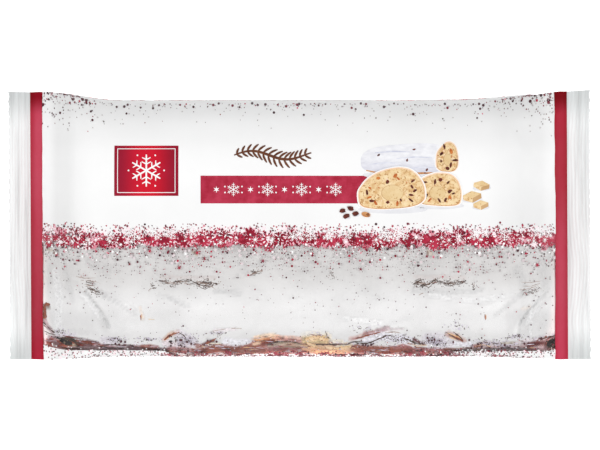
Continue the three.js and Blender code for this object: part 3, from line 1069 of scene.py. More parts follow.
def print_sprig():
    """A spruce sprig in brown, with needles on both sides of a waved stem."""
    left, right, middle = -33, 6, 37.2
    x = np.linspace(left, right, 60)
    share = (x - left) / (right - left)
    s = middle + 2.2 * np.sin(share * 2.2 * math.pi)
    stem = np.stack([x, s], -1)
    tapered_stroke(dark, stem, 1.4, 0.12, BROWN)
    for k, side in product(range(2, 58, 4), (-1, 1)):
        slope = math.atan2(s[k + 1] - s[k - 1], x[k + 1] - x[k - 1])
        reach = 5.6 * (0.55 + 0.45 * math.sin(math.pi * share[k]))
        needle = [stem[k]]
        for bend in (62, 50, 40):
            needle.append(needle[-1] + turned((reach / 3, 0), slope + side * math.radians(bend)))
        tapered_stroke(dark, needle, 1.15, 0.135, BROWN)


SEAM_WIDTH, SEAM_HEIGHT, SEAM_RIB = 10.6, 0.26, 1.6


def print_back():
    """The underside: four plain framed fields, a row of flakes, and the lap seam down the middle."""
    for x, y, width, depth in ((-108, -46, 96, 36), (0, -46, 58, 36), (70, -46, 40, 36), (-108, 18, 60, 28)):
        print_frame(crimson, x, math.copysign(HALF_GIRTH, y) - y - depth, width, depth, 0.5, 0.09)
    for k in range(12):
        shape, size = (FINE_FLAKE, 3.2) if k % 2 else (STAR, 1.3)
        crimson.stamp(shape, -30 + 12 * k, HALF_GIRTH - 32, size, kind=k % 2)
    columns = np.arange(-INNER[-1] + 0.4, INNER[1] - 0.3, 2.0)
    x, s = np.meshgrid(columns, HALF_GIRTH - 11 + np.arange(0, SEAM_WIDTH, 0.4), indexing="ij")
    rise = SEAM_HEIGHT + 0.06 * np.sin(2 * math.pi * s / SEAM_RIB)
    seam = Patches("lap_seam", "film_print", [SEAL_FILM], SEAM_HEIGHT, SEAM_HEIGHT)
    seam.lay_grid(np.stack([x, s], -1), rise.ravel())
    seam.make()


print_label()
print_banner()
print_sprig()
print_back()


# ---------------------------------------------------------------- the serving picture
tan = Patches("picture_print", "ink_tan", TAN_INK, 0.1, 0.2)


def layer_height(layer):
    """Height of a layer of the picture."""
    return 0.13 + 0.03 * layer


def picture_patch(ink, outline, x, s, layer, kind, turn=0):
    """One field of colour, turned by that many degrees."""
    shape = rounded_patch(outline, 2.0)
    ink.stamp(shape, x, s, 1, turn=math.radians(turn), kind=kind, heights=layer_height(layer))


def inset(outline, by):
    """The same outline, smaller by that much on each side."""
    return outline * (1 - by / np.abs(outline).max(axis=0))


def slice_outline(width, height, seed):
    """A slice of stollen: a high hump and a lower one beside it, nearly flat below."""
    angle = round_angles(64)
    x, y = np.cos(angle), np.sin(angle)
    humps = 1 + 0.13 * np.cos(2.3 * (angle - 1.15))
    wobble = 1 + 0.03 * noise(circle_points(angle), 0.45, seed)
    y = np.where(y > 0, np.abs(y) ** 0.8 * 0.6 * humps, -np.abs(y) ** 0.5 * 0.38)
    x = np.sign(x) * np.abs(x) ** 0.85
    return np.stack([x * width / 2 * wobble, y * height * wobble], -1)


def uneven_disc(length, width):
    """A raisin's outline."""
    return disc(10) * [length, width] * random.uniform(0.78, 1.1, (10, 1))


def print_slice(x, s, width, height, turn, layer, seed):
    """One slice in layers: sugar, baked rim, crust, crumb, marzipan, then fruit and pores."""
    outline = slice_outline(width, height, seed)
    core = disc(22) * [width * 0.16, height * 0.2]
    picture_patch(white, outline, x, s, layer, PLAIN_WHITE, turn)
    picture_patch(tan, inset(outline, 0.5), x, s, layer + 1, RIM, turn)
    picture_patch(tan, inset(outline, 1.05), x, s - 0.14, layer + 2, CRUST, turn)
    picture_patch(tan, inset(outline, 1.25), x, s, layer + 3, CRUMB, turn)
    picture_patch(tan, core, x, s + height * 0.02, layer + 4, SHADED)
    picture_patch(tan, inset(core, 0.2), x + 0.1, s + height * 0.02, layer + 5, MARZIPAN)

    def inside(angle, reach):
        """Places in the slice's crumb, at these angles and shares of the way out."""
        across, up = circle_points(angle).T * reach
        up = np.where(up > 0, 0.55, 0.32) * up * height
        return turned(np.stack([0.45 * width * across, up], -1), math.radians(turn)).T + [[x], [s]]

    count = max(7, int(width * 0.5))
    angle = 2 * math.pi * (np.arange(count) + random.uniform(-0.35, 0.35, count)) / count
    for px, ps in inside(angle, random.uniform(0.55, 0.86, count)).T:
        fruit = uneven_disc(random.uniform(0.8, 1.7), random.uniform(0.5, 1.0))
        ink, kind = [(dark, RAISIN), (dark, RAISIN), (dark, BROWN), (tan, PEEL)][random.integers(4)]
        picture_patch(ink, fruit, px, ps, layer + 5, kind, random.uniform(0, 180))
    for kind, sizes, count in ((SHADED, (0.15, 0.4), 34), (RIM, (0.2, 0.45), 20), (PEEL, (0.2, 0.4), 5)):
        pores = inside(random.uniform(0, 2 * math.pi, count), random.uniform(0.4, 0.92, count))
        tan.dots(pores, DOT, sizes, kind, layer_height(layer + 4.5))


def print_cut_loaf(x, s, length, height):
    """A sugared loaf that is lower at its left end and cut at its right end."""
    across, up = circle_points(round_angles(72)).T
    px = np.sign(across) * np.abs(across) ** 0.62 * length / 2
    py = np.where(up > 0, np.abs(up) ** 0.7 * 0.58, -(np.abs(up) ** 0.6) * 0.42) * height
    py *= 0.84 + 0.16 * (px / length + 0.5)
    picture_patch(white, np.stack([px, py], -1), x, s, 0, SUGARED, 2)
    size = [length, height]
    low = np.array([(-0.44, -0.3), (-0.3, -0.38), (0, -0.4), (0.4, -0.37)]) * size + [x, s]
    tapered_stroke(tan, low, 1.1, layer_height(1), CRUST)
    for rise, start, end in ((0.3, -0.34, 0.05), (0.12, -0.1, 0.3), (-0.06, -0.4, -0.05), (-0.2, 0.0, 0.36)):
        fold = np.array([(start, rise - 0.05), ((start + end) / 2, rise), (end, rise - 0.02)]) * size + [x, s]
        tapered_stroke(white, fold, 0.8, layer_height(1), SUGAR)
    for share, rise, turn in (
        (-0.3, 0.18, 30), (-0.16, -0.3, -20), (0.1, 0.36, 10), (0.24, -0.28, 60), (0.02, 0.02, 80)
    ):
        picture_patch(dark, uneven_disc(0.9, 0.5), x + share * length, s + rise * height, 2, RAISIN, turn)
    print_slice(x + 0.47 * length, s + 0.2, 12.5, height * 0.98, -3, 1, 4)


def print_block(x, s, size, turn):
    """A cut block of marzipan seen from above one corner: a light top and two darker sides."""
    corner = np.array([size, size * 0.5])
    picture_patch(white, disc(20) * corner * [1.15, 0.7], x, s - 0.55 * size, 0, SOFT_SHADOW)
    for outline, kind in (
        ([(-1, 0), (-1, -1), (0, -1.8), (0, -0.8)], CRUMB),
        ([(0, -0.8), (0, -1.8), (1, -1), (1, 0)], SHADED),
        ([(-1, 0), (0, -0.8), (1, 0), (0, 0.8)], MARZIPAN),
    ):
        outline = outline * corner
        centre = outline.mean(axis=0)
        picture_patch(tan, outline - centre, *(turned(centre, math.radians(turn)) + [x, s]), 1, kind, turn)


def print_picture():
    """A cut loaf with two slices before it, blocks of marzipan on the right and fruit on the left."""
    for x, s, wide, high in ((47, 9.6, 17.5, 2.2), (70, 11.4, 13, 1.8), (54, 27, 22, 2.2)):
        picture_patch(white, disc(28) * [wide, high], x, s, -0.5, SOFT_SHADOW)
    print_cut_loaf(53.5, 34.3, 45, 16.5)
    print_slice(69.5, 17.6, 26, 17.5, -5, 8, 6)
    print_slice(46.8, 17.4, 35, 21, 4, 15, 5)
    for block in ((87, 17, 4.6, 6), (92, 22.4, 4.0, -8), (91.4, 12.6, 3.8, 3)):
        print_block(*block)
    for x, s in ((21.6, 9.0), (25.6, 10.1), (28.2, 7.4), (23.6, 6.2)):
        picture_patch(white, disc(12) * [1.9, 0.8], x + 0.2, s - 0.9, 0, SOFT_SHADOW)
        picture_patch(dark, uneven_disc(1.8, 1.2), x, s, 11, RAISIN, random.uniform(-40, 40))
    picture_patch(tan, disc(12) * [2.3, 1.3], 33.4, 7.0, 11, CRUST, -14)


print_picture()
for ink in (crimson, dark, white, tan):
    ink.make()


# ---------------------------------------------------------------- the loaf
LOAF_AXIS = 20  # height of the line that the loaf's section is measured from
LOAF_ENDS = {-1: -135.6, 1: 135.2}
LOAF_BLUNT = 128  # the loaf keeps its section up to here
FOOT_REACH, FOOT_HEIGHT = 65.6, 10
DOME_REACH, DOME_BASE, LOAF_TOP, LOAF_DOME_POWER = 64.6, 15, 49.8, 2.8
AIR = 0.45  # between the sugar and the film
SUGAR_THICKNESS = 1.15

COAT_EDGE = [  # x and y of the coat's lower edge as seen from above
    (-132.1, -56.9), (-128, -56.4), (-121.8, -56.4), (-113.6, -57.4), (-107.5, -58.4), (-100.3, -60.2),
    (-92.1, -60.7), (-81.9, -60.5), (-71.6, -62), (-63.9, -63.3), (-56.2, -63), (-50.1, -61.5),
    (-42.9, -60.5), (-34.7, -62), (-27.5, -61), (-22.9, -57.4), (-16.3, -56.9), (-10.1, -58.2),
    (-0.9, -58.2), (3.2, -56.4), (9.4, -55.3), (14.5, -56.4), (16.5, -59.7), (25.8, -60),
    (30.9, -61), (51.4, -61.2), (57.5, -60.2), (64.2, -61), (71.9, -62.3), (82.1, -62.8),
    (88.3, -61.5), (93.4, -60), (98.5, -61.5), (105.2, -61), (112.9, -58.9), (120.6, -57.7),
    (131.3, -55.9),
]

FOLDS = [  # soft grooves in the sugar, in x and y, with their width and depth
    ([(-112, -33), (-106, -37), (-101, -43), (-98, -51)], 1.1, 1.7),
    ([(-99, -34), (-91, -38), (-84, -42.5)], 1.6, 1.2),
    ([(-118, -26), (-110, -30), (-103, -37)], 1.4, 0.9),
    ([(-116, -20), (-117, -36)], 2.6, 0.8),
    ([(127, -33), (121, -38), (116, -44), (112, -51)], 1.1, 1.7),
    ([(120, -30), (110, -36), (104, -38)], 1.4, 1.1),
    ([(124, -38), (118, -47), (117, -54)], 1.6, 0.9),
    ([(109, -20), (108, -40)], 3.2, 0.8),
    ([(-56, -31), (-48, -36)], 1.4, 0.8),
    ([(-44, -33), (-36, -35)], 1.2, 0.5),
    ([(-40, -27), (-20, -30), (4, -28)], 3.0, 0.7),
    ([(56, -33), (68, -32), (80, -35)], 2.4, 0.6),
]

CRACKS = [  # dark lines where the coat has split, in x and y, with their width
    ([(68.5, -27.6), (71.5, -28.6), (75, -29.4), (78.5, -28.6), (82, -27.9)], 0.4),
    ([(15.6, -22.4), (15.9, -24.4), (17.2, -26)], 0.35),
    ([(-71.1, -27.2), (-70, -28), (-67.5, -28.1), (-65.5, -29.5), (-64.4, -29.7)], 0.55),
    ([(-64.4, -29.7), (-63.2, -28.4), (-61, -27.6), (-58.7, -27.9), (-55.9, -27.2)], 0.45),
    ([(-56.9, -27), (-53.6, -28.4), (-51.3, -29.5), (-49.1, -30.3), (-45.7, -30), (-44.8, -28.6),
      (-46.8, -27.5), (-48.5, -26.9)], 0.6),
    ([(-50.3, -28.1), (-47.7, -28.8), (-45.7, -28.3)], 0.4),
    ([(-75.2, -30.5), (-73.2, -29.9)], 0.6),
    ([(-43.4, -28.9), (-41.6, -29.1)], 0.5),
    ([(57, -29.7), (58.7, -28.6), (60.9, -27.5), (63.4, -28.4)], 0.55),
    ([(58.2, -29), (61.2, -30.1), (65.4, -29.5), (66.6, -28.4), (68.5, -27.2), (71.1, -27.7)], 0.6),
    ([(73.9, -28), (76.2, -28.3), (77.8, -29.8)], 0.7),
    ([(79.5, -28.4), (82.1, -28.5), (84.1, -27.8)], 0.5),
    ([(87.2, -30.3), (88.4, -30.6)], 0.7),
    ([(113, -33.8), (116.2, -33.7), (118.7, -32.7), (122, -31.7)], 0.4),
    ([(-108.3, -31.2), (-105.6, -32.1), (-103.4, -33.1), (-100, -33.8)], 0.5),
    ([(-107.8, -28.5), (-103.7, -28.8)], 0.4),
    ([(-20.2, -22.7), (-22.3, -23.4), (-24.3, -23.7)], 0.5),
    ([(-41.6, -55), (-39.6, -54)], 0.5),
]
SPLITS = [  # paler brown lines beside them
    ([(-69.6, -27.5), (-66.6, -28.8), (-63, -29)], 0.9),
    ([(-61, -28), (-56.9, -27.9)], 0.7),
    ([(-52.3, -28), (-48.2, -29), (-45.2, -29.3)], 0.9),
    ([(-58.9, -28.8), (-54.8, -29.9)], 0.4),
    ([(-47.7, -30.8), (-44.7, -30.5), (-42.6, -32.1)], 0.4),
    ([(-25.8, -25.2), (-22.3, -23.6), (-18.7, -22.4)], 0.7),
    ([(58.7, -28.2), (61.7, -29), (65.3, -28.8)], 0.9),
    ([(66.3, -29), (70.4, -28.2)], 0.6),
    ([(74.4, -28.8), (77.5, -29)], 0.7),
    ([(-113.4, -25.4), (-108.8, -26.5), (-103.2, -26.3)], 0.35),
    ([(-110.8, -27.5), (-106.8, -27.8), (-101.7, -28.5)], 0.3),
    ([(-109.3, -29.5), (-103.7, -30.5)], 0.35),
    ([(112.1, -28.5), (117.2, -28.7), (122.8, -28)], 0.3),
    ([(113.1, -30.5), (117.7, -30.5), (122.3, -29.2)], 0.3),
    ([(111.1, -32.3), (116.2, -31.9), (121.3, -30.4)], 0.3),
    ([(-35, -51.9), (-29.4, -52.1)], 0.4),
    ([(-44.7, -53.4), (-37.5, -52.2)], 0.3),
    ([(60.2, -34.9), (62.5, -33.9)], 0.5),
]
FOOT_CREVICES = [  # dark gaps in the bare crust
    ([(-132.1, -49.2), (-130, -50.6)], 0.7),
    ([(-129.2, -51.5), (-127.6, -52.7)], 0.5),
    ([(-127.2, -53.2), (-125.2, -54.6)], 0.7),
    ([(-131.1, -53.8), (-128, -55.1), (-124.9, -55.6)], 0.5),
    ([(-93.1, -56.4), (-92.4, -57.9), (-93.1, -59.4)], 0.5),
    ([(-78.3, -57.4), (-77, -58.4)], 0.6),
    ([(-122.9, -57.4), (-119.8, -56.8), (-115.7, -57.9), (-112.6, -60)], 0.9),
    ([(-100.3, -60.2), (-93.1, -60.7), (-86, -60.5)], 0.5),
    ([(-61.4, -54.1), (-59.3, -55.3), (-57.8, -57.4)], 0.5),
    ([(-17.3, -60.6), (-15.2, -60.2), (-12.6, -59.1), (-8.1, -58.8)], 0.8),
    ([(-8.1, -58.8), (-1.9, -59.4), (0.1, -60)], 0.4),
    ([(3.2, -60.5), (9.4, -60.7), (17, -60.3), (24.2, -60.2), (27.3, -58.9), (31.9, -58.6)], 0.8),
    ([(28.3, -59.7), (34, -60), (39.1, -57.9), (43.2, -56.1), (47.3, -55.3)], 0.8),
    ([(12.9, -53.3), (13.7, -55.3), (15, -57.4)], 0.4),
    ([(52.4, -56.9), (56, -58.4), (60.1, -60.2), (63.7, -59.4)], 0.9),
    ([(73.9, -53.8), (77, -55.3), (80.6, -58.1)], 0.7),
    ([(78, -53.8), (80.6, -55.9), (83.2, -58.4)], 0.6),
    ([(126.2, -58.9), (128.8, -60.5), (131.3, -60)], 1.4),
    ([(127.2, -62.5), (131.3, -61.5)], 1.5),
    ([(123.1, -58.4), (127.2, -56.9), (131.3, -55.9)], 0.6),
    ([(-122.9, -62), (-117.7, -62.8), (-110.6, -62.5)], 0.6),
]
BROWN_SCABS = [  # scabs of crust that lie bare
    ([(-69.1, -57.9), (-66.5, -55.9), (-61.4, -53.8)], 1.1),
    ([(-48.6, -60.5), (-45.5, -58.9), (-42.4, -57.4)], 0.8),
    ([(28.3, -57.4), (31.9, -56.4), (37.0, -54.8), (41.1, -53.8)], 0.7),
    ([(77.0, -55.3), (80.1, -56.9), (83.2, -58.9)], 1.2),
    ([(-80.8, -45.1), (-80.6, -47.9)], 0.5),
    ([(93.9, -44.6), (94.1, -47.7)], 0.5),
    ([(-131.4, -40.2), (-129.8, -40.4), (-127.6, -40.1)], 1.6),
    ([(-131.2, -41), (-130.6, -43.6), (-131.2, -47.4)], 2.0),
]
BAKED_EDGES = [  # amber rims of the scabs
    ([(-69.1, -58.4), (-66, -56.1), (-62.4, -53.9)], 0.4),
    ([(75.0, -54.3), (78.5, -55.6), (82.1, -57.4)], 0.9),
    ([(76.0, -56.4), (79.6, -57.9)], 0.5),
    ([(89.3, -61.5), (93.4, -60.5), (97.5, -61.5)], 0.5),
    ([(-80.3, -44.6), (-80.1, -47.1)], 0.4),
    ([(94.4, -44.8), (94.5, -47.1)], 0.4),
]
RAISIN_BEDS = [  # hollows that hold the large raisins
    ([(-121.3, -59.4), (-117.7, -60), (-113.6, -61)], 3.6),
    ([(126.2, -59.4), (128.8, -60), (131.3, -60)], 3.4),
]
MARZIPAN_LUMPS = [  # each in a hollow of its own
    ([(2.7, -57.6), (6.3, -57), (11.4, -57), (14.5, -58.2)], 4.4),
    ([(4.2, -62), (11.4, -62.8), (20.6, -62.4), (26.3, -61.6)], 3.4),
    ([(3.2, -60), (8.3, -61)], 2.0),
    ([(6.3, -64.4), (15.5, -64.9), (22.7, -64.4)], 2.2),
    ([(-76.7, -47.1), (-73.7, -47.4)], 0.5),
]


def loaf_ring():
    """The loaf's own section all round, from the middle of the underside over -Y: y and z.
    Points lie close together on the side that the window shows."""
    turn = np.linspace(0, math.pi / 2, 60)
    rise = np.linspace(0, 1, 20)[1:]
    dome_y = DOME_REACH * np.cos(turn).clip(0) ** (2 / LOAF_DOME_POWER)
    dome_z = DOME_BASE + (LOAF_TOP - DOME_BASE) * np.sin(turn) ** (2 / LOAF_DOME_POWER)
    foot_y = FOOT_REACH - 7 * (1 - np.sin(turn))
    foot_z = 1 + (FOOT_HEIGHT - 1) * (1 - np.cos(turn))
    waist_y = FOOT_REACH - (FOOT_REACH - DOME_REACH) * smooth(rise)
    waist_z = FOOT_HEIGHT + (DOME_BASE - FOOT_HEIGHT) * rise
    y = np.concatenate([[0], foot_y, waist_y, dome_y[1:]])
    z = np.concatenate([[1], foot_z, waist_z, dome_z[1:]])
    length = lengths(y, z)
    turned_up, above_foot = 52, 106  # the foot lies between, and is divided most finely
    near = [along(0, turned_up, 4), along(turned_up, above_foot, 0.6), along(above_foot, length[-1], 1.2)]
    far = [along(0, turned_up, 4), along(turned_up, length[-1], 3.4), length[-1:]]
    near, far = np.concatenate(near), np.concatenate(far)[:0:-1]
    ring_y = np.concatenate([-np.interp(near, length, y), np.interp(far, length, y)])
    return ring_y, np.interp(np.concatenate([near, far]), length, z)


def loaf_stations():
    """Places along X of the loaf's rings."""
    bend = np.sin(np.linspace(0, math.pi / 2, 18))
    right = LOAF_BLUNT + (LOAF_ENDS[1] - LOAF_BLUNT) * bend
    left = -LOAF_BLUNT + (LOAF_ENDS[-1] + LOAF_BLUNT) * bend
    return np.concatenate([left[:0:-1], along(-LOAF_BLUNT, LOAF_BLUNT, 0.68), right])


def film_reach(x, angle):
    """Distance from the loaf's axis to the film at each station and each angle."""
    row, share = before(FILM_X, x)
    share = share[:, None, None]
    sections = FILM_POINTS[row] * (1 - share) + FILM_POINTS[row + 1] * share
    reach = np.empty((len(x), len(angle)))
    for k, section in enumerate(sections):
        y, z = section[:, 1], section[:, 2] - LOAF_AXIS
        reach[k] = np.interp(angle, np.arctan2(z, y), np.hypot(y, z), period=2 * math.pi)
    return reach


def crust_relief(place, own_height):
    """How far the crust stands out from the plain section, with its lumps, streaks, folds and cracks."""
    px, py, height = np.moveaxis(place, -1, 0)
    lumps = 0.9 * field(place, 24, 31, 2) + 0.5 * field(place, 7, 33, 3)
    rough = field(place, 3.2, 36, 3)
    streaks = field(place, 3.0, 38, 3, [0.4, 1, 1])
    relief = lumps + 0.25 * rough + smooth((26 - height) / 8) * (0.5 * rough + 0.7 * streaks)
    over = smooth((own_height - 22) / 4)  # the coat's side, above the foot
    for line, _ in CRACKS:
        relief -= 0.6 * over * ridge(px, py, line, 1.1)
    for line, width, depth in FOLDS:
        relief -= depth * over * ridge(px, py, line, width)
    for line, width in MARZIPAN_LUMPS + RAISIN_BEDS:
        relief -= 0.7 * ridge(px, py, line, 0.5 * width)
    return relief


def coat_thickness(place, own_height):
    """Thickness of the sugar, which is below 0 where the crust is bare."""
    px, py, _ = np.moveaxis(place, -1, 0)
    edge = np.interp(np.where(py < 0, px, -px), *np.transpose(COAT_EDGE))
    tatter = 0.9 * field(place, 3.0, 51, 3, [0.7, 1, 1])
    bare = np.where(own_height < FOOT_HEIGHT, 1, smooth((edge + tatter + np.abs(py)) / 0.8 + 0.5))
    patches = field(place, 3.5, 57, 3, [0.6, 1, 1]) + 0.4 * np.exp(-(((px - 104) / 10) ** 2))
    dusted = smooth((patches - 0.2) * 6) * (own_height > 4)
    bare = bare * (1 - 0.75 * dusted)
    grain = 0.28 * field(place, 5, 53, 3) + 0.1 * field(place, 1.5, 59, 1)
    thickness = SUGAR_THICKNESS + 0.35 * field(place, 12, 55, 2) + grain
    return thickness * (1 - bare) - 0.5 * bare


def loaf_surfaces():
    """Grids of points of the crust and of the sugar's outside, and the sugar's thickness."""
    ring_y, ring_z = loaf_ring()
    ring_y = ring_y + BODY_SHIFT
    x = loaf_stations()
    angle = np.arctan2(ring_z - LOAF_AXIS, ring_y)
    own = np.hypot(ring_z - LOAF_AXIS, ring_y)
    limit = film_reach(x, angle)
    end = np.where(x < 0, LOAF_ENDS[-1], LOAF_ENDS[1])
    narrowing = ((1 - np.abs(x / end) ** 150 * 0.9999) ** (1 / 2.2))[:, None]  # only close to the blunt ends
    low = smooth((24 - ring_z) / 12)  # 1 on the foot, which keeps no room for a full coat
    air = AIR + 1.1 * smooth((np.abs(x) - 122) / 9)[:, None]
    room = air + 0.3 + (SUGAR_THICKNESS + 0.2) * (1 - low)
    base = np.minimum(own, limit - room) * narrowing

    def points(reach):
        y = reach * np.cos(angle)
        return np.stack([x[:, None] - SKEW * y, y, LOAF_AXIS + reach * np.sin(angle)], -1)

    place = points(base)
    own_height = np.broadcast_to(ring_z, base.shape)
    coat = coat_thickness(place, own_height)
    reach = np.minimum(base + crust_relief(place, own_height) * narrowing, limit - air - 0.3)
    sugar = np.minimum(reach + coat * np.sqrt(narrowing), limit - air)
    return points(reach), points(sugar), coat


def closed_tube(name, grid, materials, kinds=None):
    """A tube of closed rings, with a point at each end. kinds has the material of each quad."""
    rings, size = grid.shape[:2]
    ends = np.array([grid[0].mean(axis=0), grid[-1].mean(axis=0)])
    first, tail = rings * size, (rings - 1) * size
    index = np.arange(size)
    beside = (index + 1) % size
    faces = ring_faces(rings, size).tolist()
    faces += np.stack([0 * index + first, index, beside], -1).tolist()
    faces += np.stack([0 * index + first + 1, tail + beside, tail + index], -1).tolist()
    points = np.concatenate([grid.reshape(-1, 3), ends])
    if kinds is not None:
        kinds = np.concatenate([kinds.ravel(), np.zeros(2 * size, int)])
    return make_piece(name, points, faces, materials, kinds, sharp=70)


def face_share(mask):
    """A mask of a grid's points, as one value for each quad of the tube."""
    beside = np.roll(mask, -1, axis=1)
    return (mask[:-1] + mask[1:] + beside[:-1] + beside[1:]) / 4


STEEP_SIDE = ("Z", 33, 22, (344, 322, 318))  # the side wall is lightened, since less light falls on it


def smeared(made):
    """Lets the smears painted on the mesh cover a patterned surface, with a fine grain of their own, and
    lightens the steep side wall with the painted light of STEEP_SIDE.
    """
    tree, place, base = opened(made)
    smear = node(tree, "ShaderNodeAttribute", attribute_name="smear")
    depth = ranged(tree, bumps(tree, place, 1.3, 3.0), 0.3, 0.7, 0.62, 1.3)
    grained = mixed(tree, 1, smear.outputs["Color"], depth, "MULTIPLY")
    colour = mixed(tree, smear.outputs["Alpha"], base.links[0].from_socket, grained)
    tree.links.new(shaded(tree, place, colour, *STEEP_SIDE), base)


CRUST_BROWNS = [(96, 40, 32), (146, 72, 54), (168, 94, 76), (178, 126, 120), (206, 184, 188)]
CRUST_LOOK = patterned("crust", CRUST_BROWNS, 3, 0.75, 1.1, 0.2, longer=(3, 1, 1))
flecked(CRUST_LOOK, (62, 32, 28), 1.6, 0.67, (2.5, 1, 1))
flecked(CRUST_LOOK, (220, 212, 218), 1.5, 0.64, (1.5, 1, 1))
SUGAR_WHITES = [(226, 225, 224), (234, 233, 232), (238, 237, 236)]
# Painted shade: the sugar darkens towards the window's printed edge and towards the foot, leaving a lighter
# band between as a painted sheen.
SUGAR_LOOK = patterned("powdered_sugar", SUGAR_WHITES, 26, 0.95, 0.6, 0.08, [
    ("Y", -39, -23, (239, 238, 237)),
    ("Y", -40, -47, (243, 243, 243)),
])
flecked(SUGAR_LOOK, (190, 186, 182), 1.2, 0.73)
THIN_SUGAR = [(172, 152, 158), (204, 192, 198), (222, 215, 218)]
DUST_LOOK = patterned("thin_sugar", THIN_SUGAR, 2.0, 0.95, 0.6, 0.12)
flecked(DUST_LOOK, (130, 86, 76), 1.0, 0.6)
# each of these also gets the painted light of the steep side wall
for look in (CRUST_LOOK, SUGAR_LOOK, DUST_LOOK):
    smeared(look)
SCAB_LOOKS = [
    patterned("crack_brown", [(58, 42, 36), (98, 78, 68)], 2, 0.8, 0.8, 0.1),
    patterned("split_brown", [(150, 128, 118), (186, 170, 162)], 2, 0.8, 0.8, 0.1),
    patterned("rust", [(112, 48, 32), (164, 90, 62)], 2, 0.75, 0.8, 0.15),
    patterned("baked_amber", [(206, 146, 100), (236, 202, 160)], 3, 0.75, 0.8, 0.1),
    patterned("dusted_mauve", [(150, 112, 118), (196, 172, 180)], 2, 0.85, 0.8, 0.1),
    patterned("wine_brown", [(84, 26, 28), (132, 60, 54)], 2, 0.75, 0.8, 0.12),
    patterned("lilac_sugar", [(200, 190, 206), (226, 220, 230)], 2, 0.9, 0.6, 0.1),
    patterned("olive_sugar", [(120, 110, 88), (174, 164, 140)], 2, 0.8, 0.8, 0.1),
]
CRACK, SPLIT, SCAB, BAKED, MAUVE, WINE, LILAC, OLIVE = range(8)
flecked(SCAB_LOOKS[SCAB], (66, 28, 22), 1, 0.63)
MARZIPAN_TANS = [(214, 178, 132), (232, 200, 158), (242, 220, 186)]
# its steep side is lightened with the same painted light
NUT_LOOK = patterned("marzipan", MARZIPAN_TANS, 2.5, 0.7, 0.8, 0.15, [STEEP_SIDE])
flecked(NUT_LOOK, (160, 104, 70), 1.1, 0.62)
FRUIT_LOOK = patterned("raisin", [(14, 10, 12), (44, 30, 30)], 1.6, 0.55, 0.7, 0.2)
flecked(FRUIT_LOOK, (112, 98, 80), 1.4, 0.6)


PAINTS = {  # colours of the smears
    "brown": (118, 78, 62),
    "wine": (92, 36, 38),
    "mauve": (158, 124, 130),
    "dark_mauve": (106, 72, 78),
    "lilac": (214, 206, 216),
    "pale_lilac": (234, 232, 240),
    "amber": (204, 146, 102),
    "pale_amber": (236, 206, 176),
    "tan": (208, 182, 140),
    "cream": (232, 220, 200),
    "peach": (214, 180, 146),
    "deep_rust": (112, 36, 18),
    "rust": (146, 78, 60),
    "dark_rust": (126, 66, 52),
    "olive_black": (50, 44, 38),
    "olive": (176, 166, 146),
    "pink": (172, 104, 102),
    "blush": (198, 156, 146),
    "grey": (204, 190, 192),
    "black": (44, 36, 36),
    "pale_pink": (224, 212, 216),
    "rose_brown": (158, 96, 96),
    "rose_grey": (190, 156, 160),
    "mauve_grey": (198, 172, 176),
    "orange": (228, 158, 104),
    "salmon": (222, 172, 150),
    # painted shade and a painted highlight, for the sugar beside folds and cracks
    "shade": (186, 186, 186),
    "light": (248, 248, 248),
}
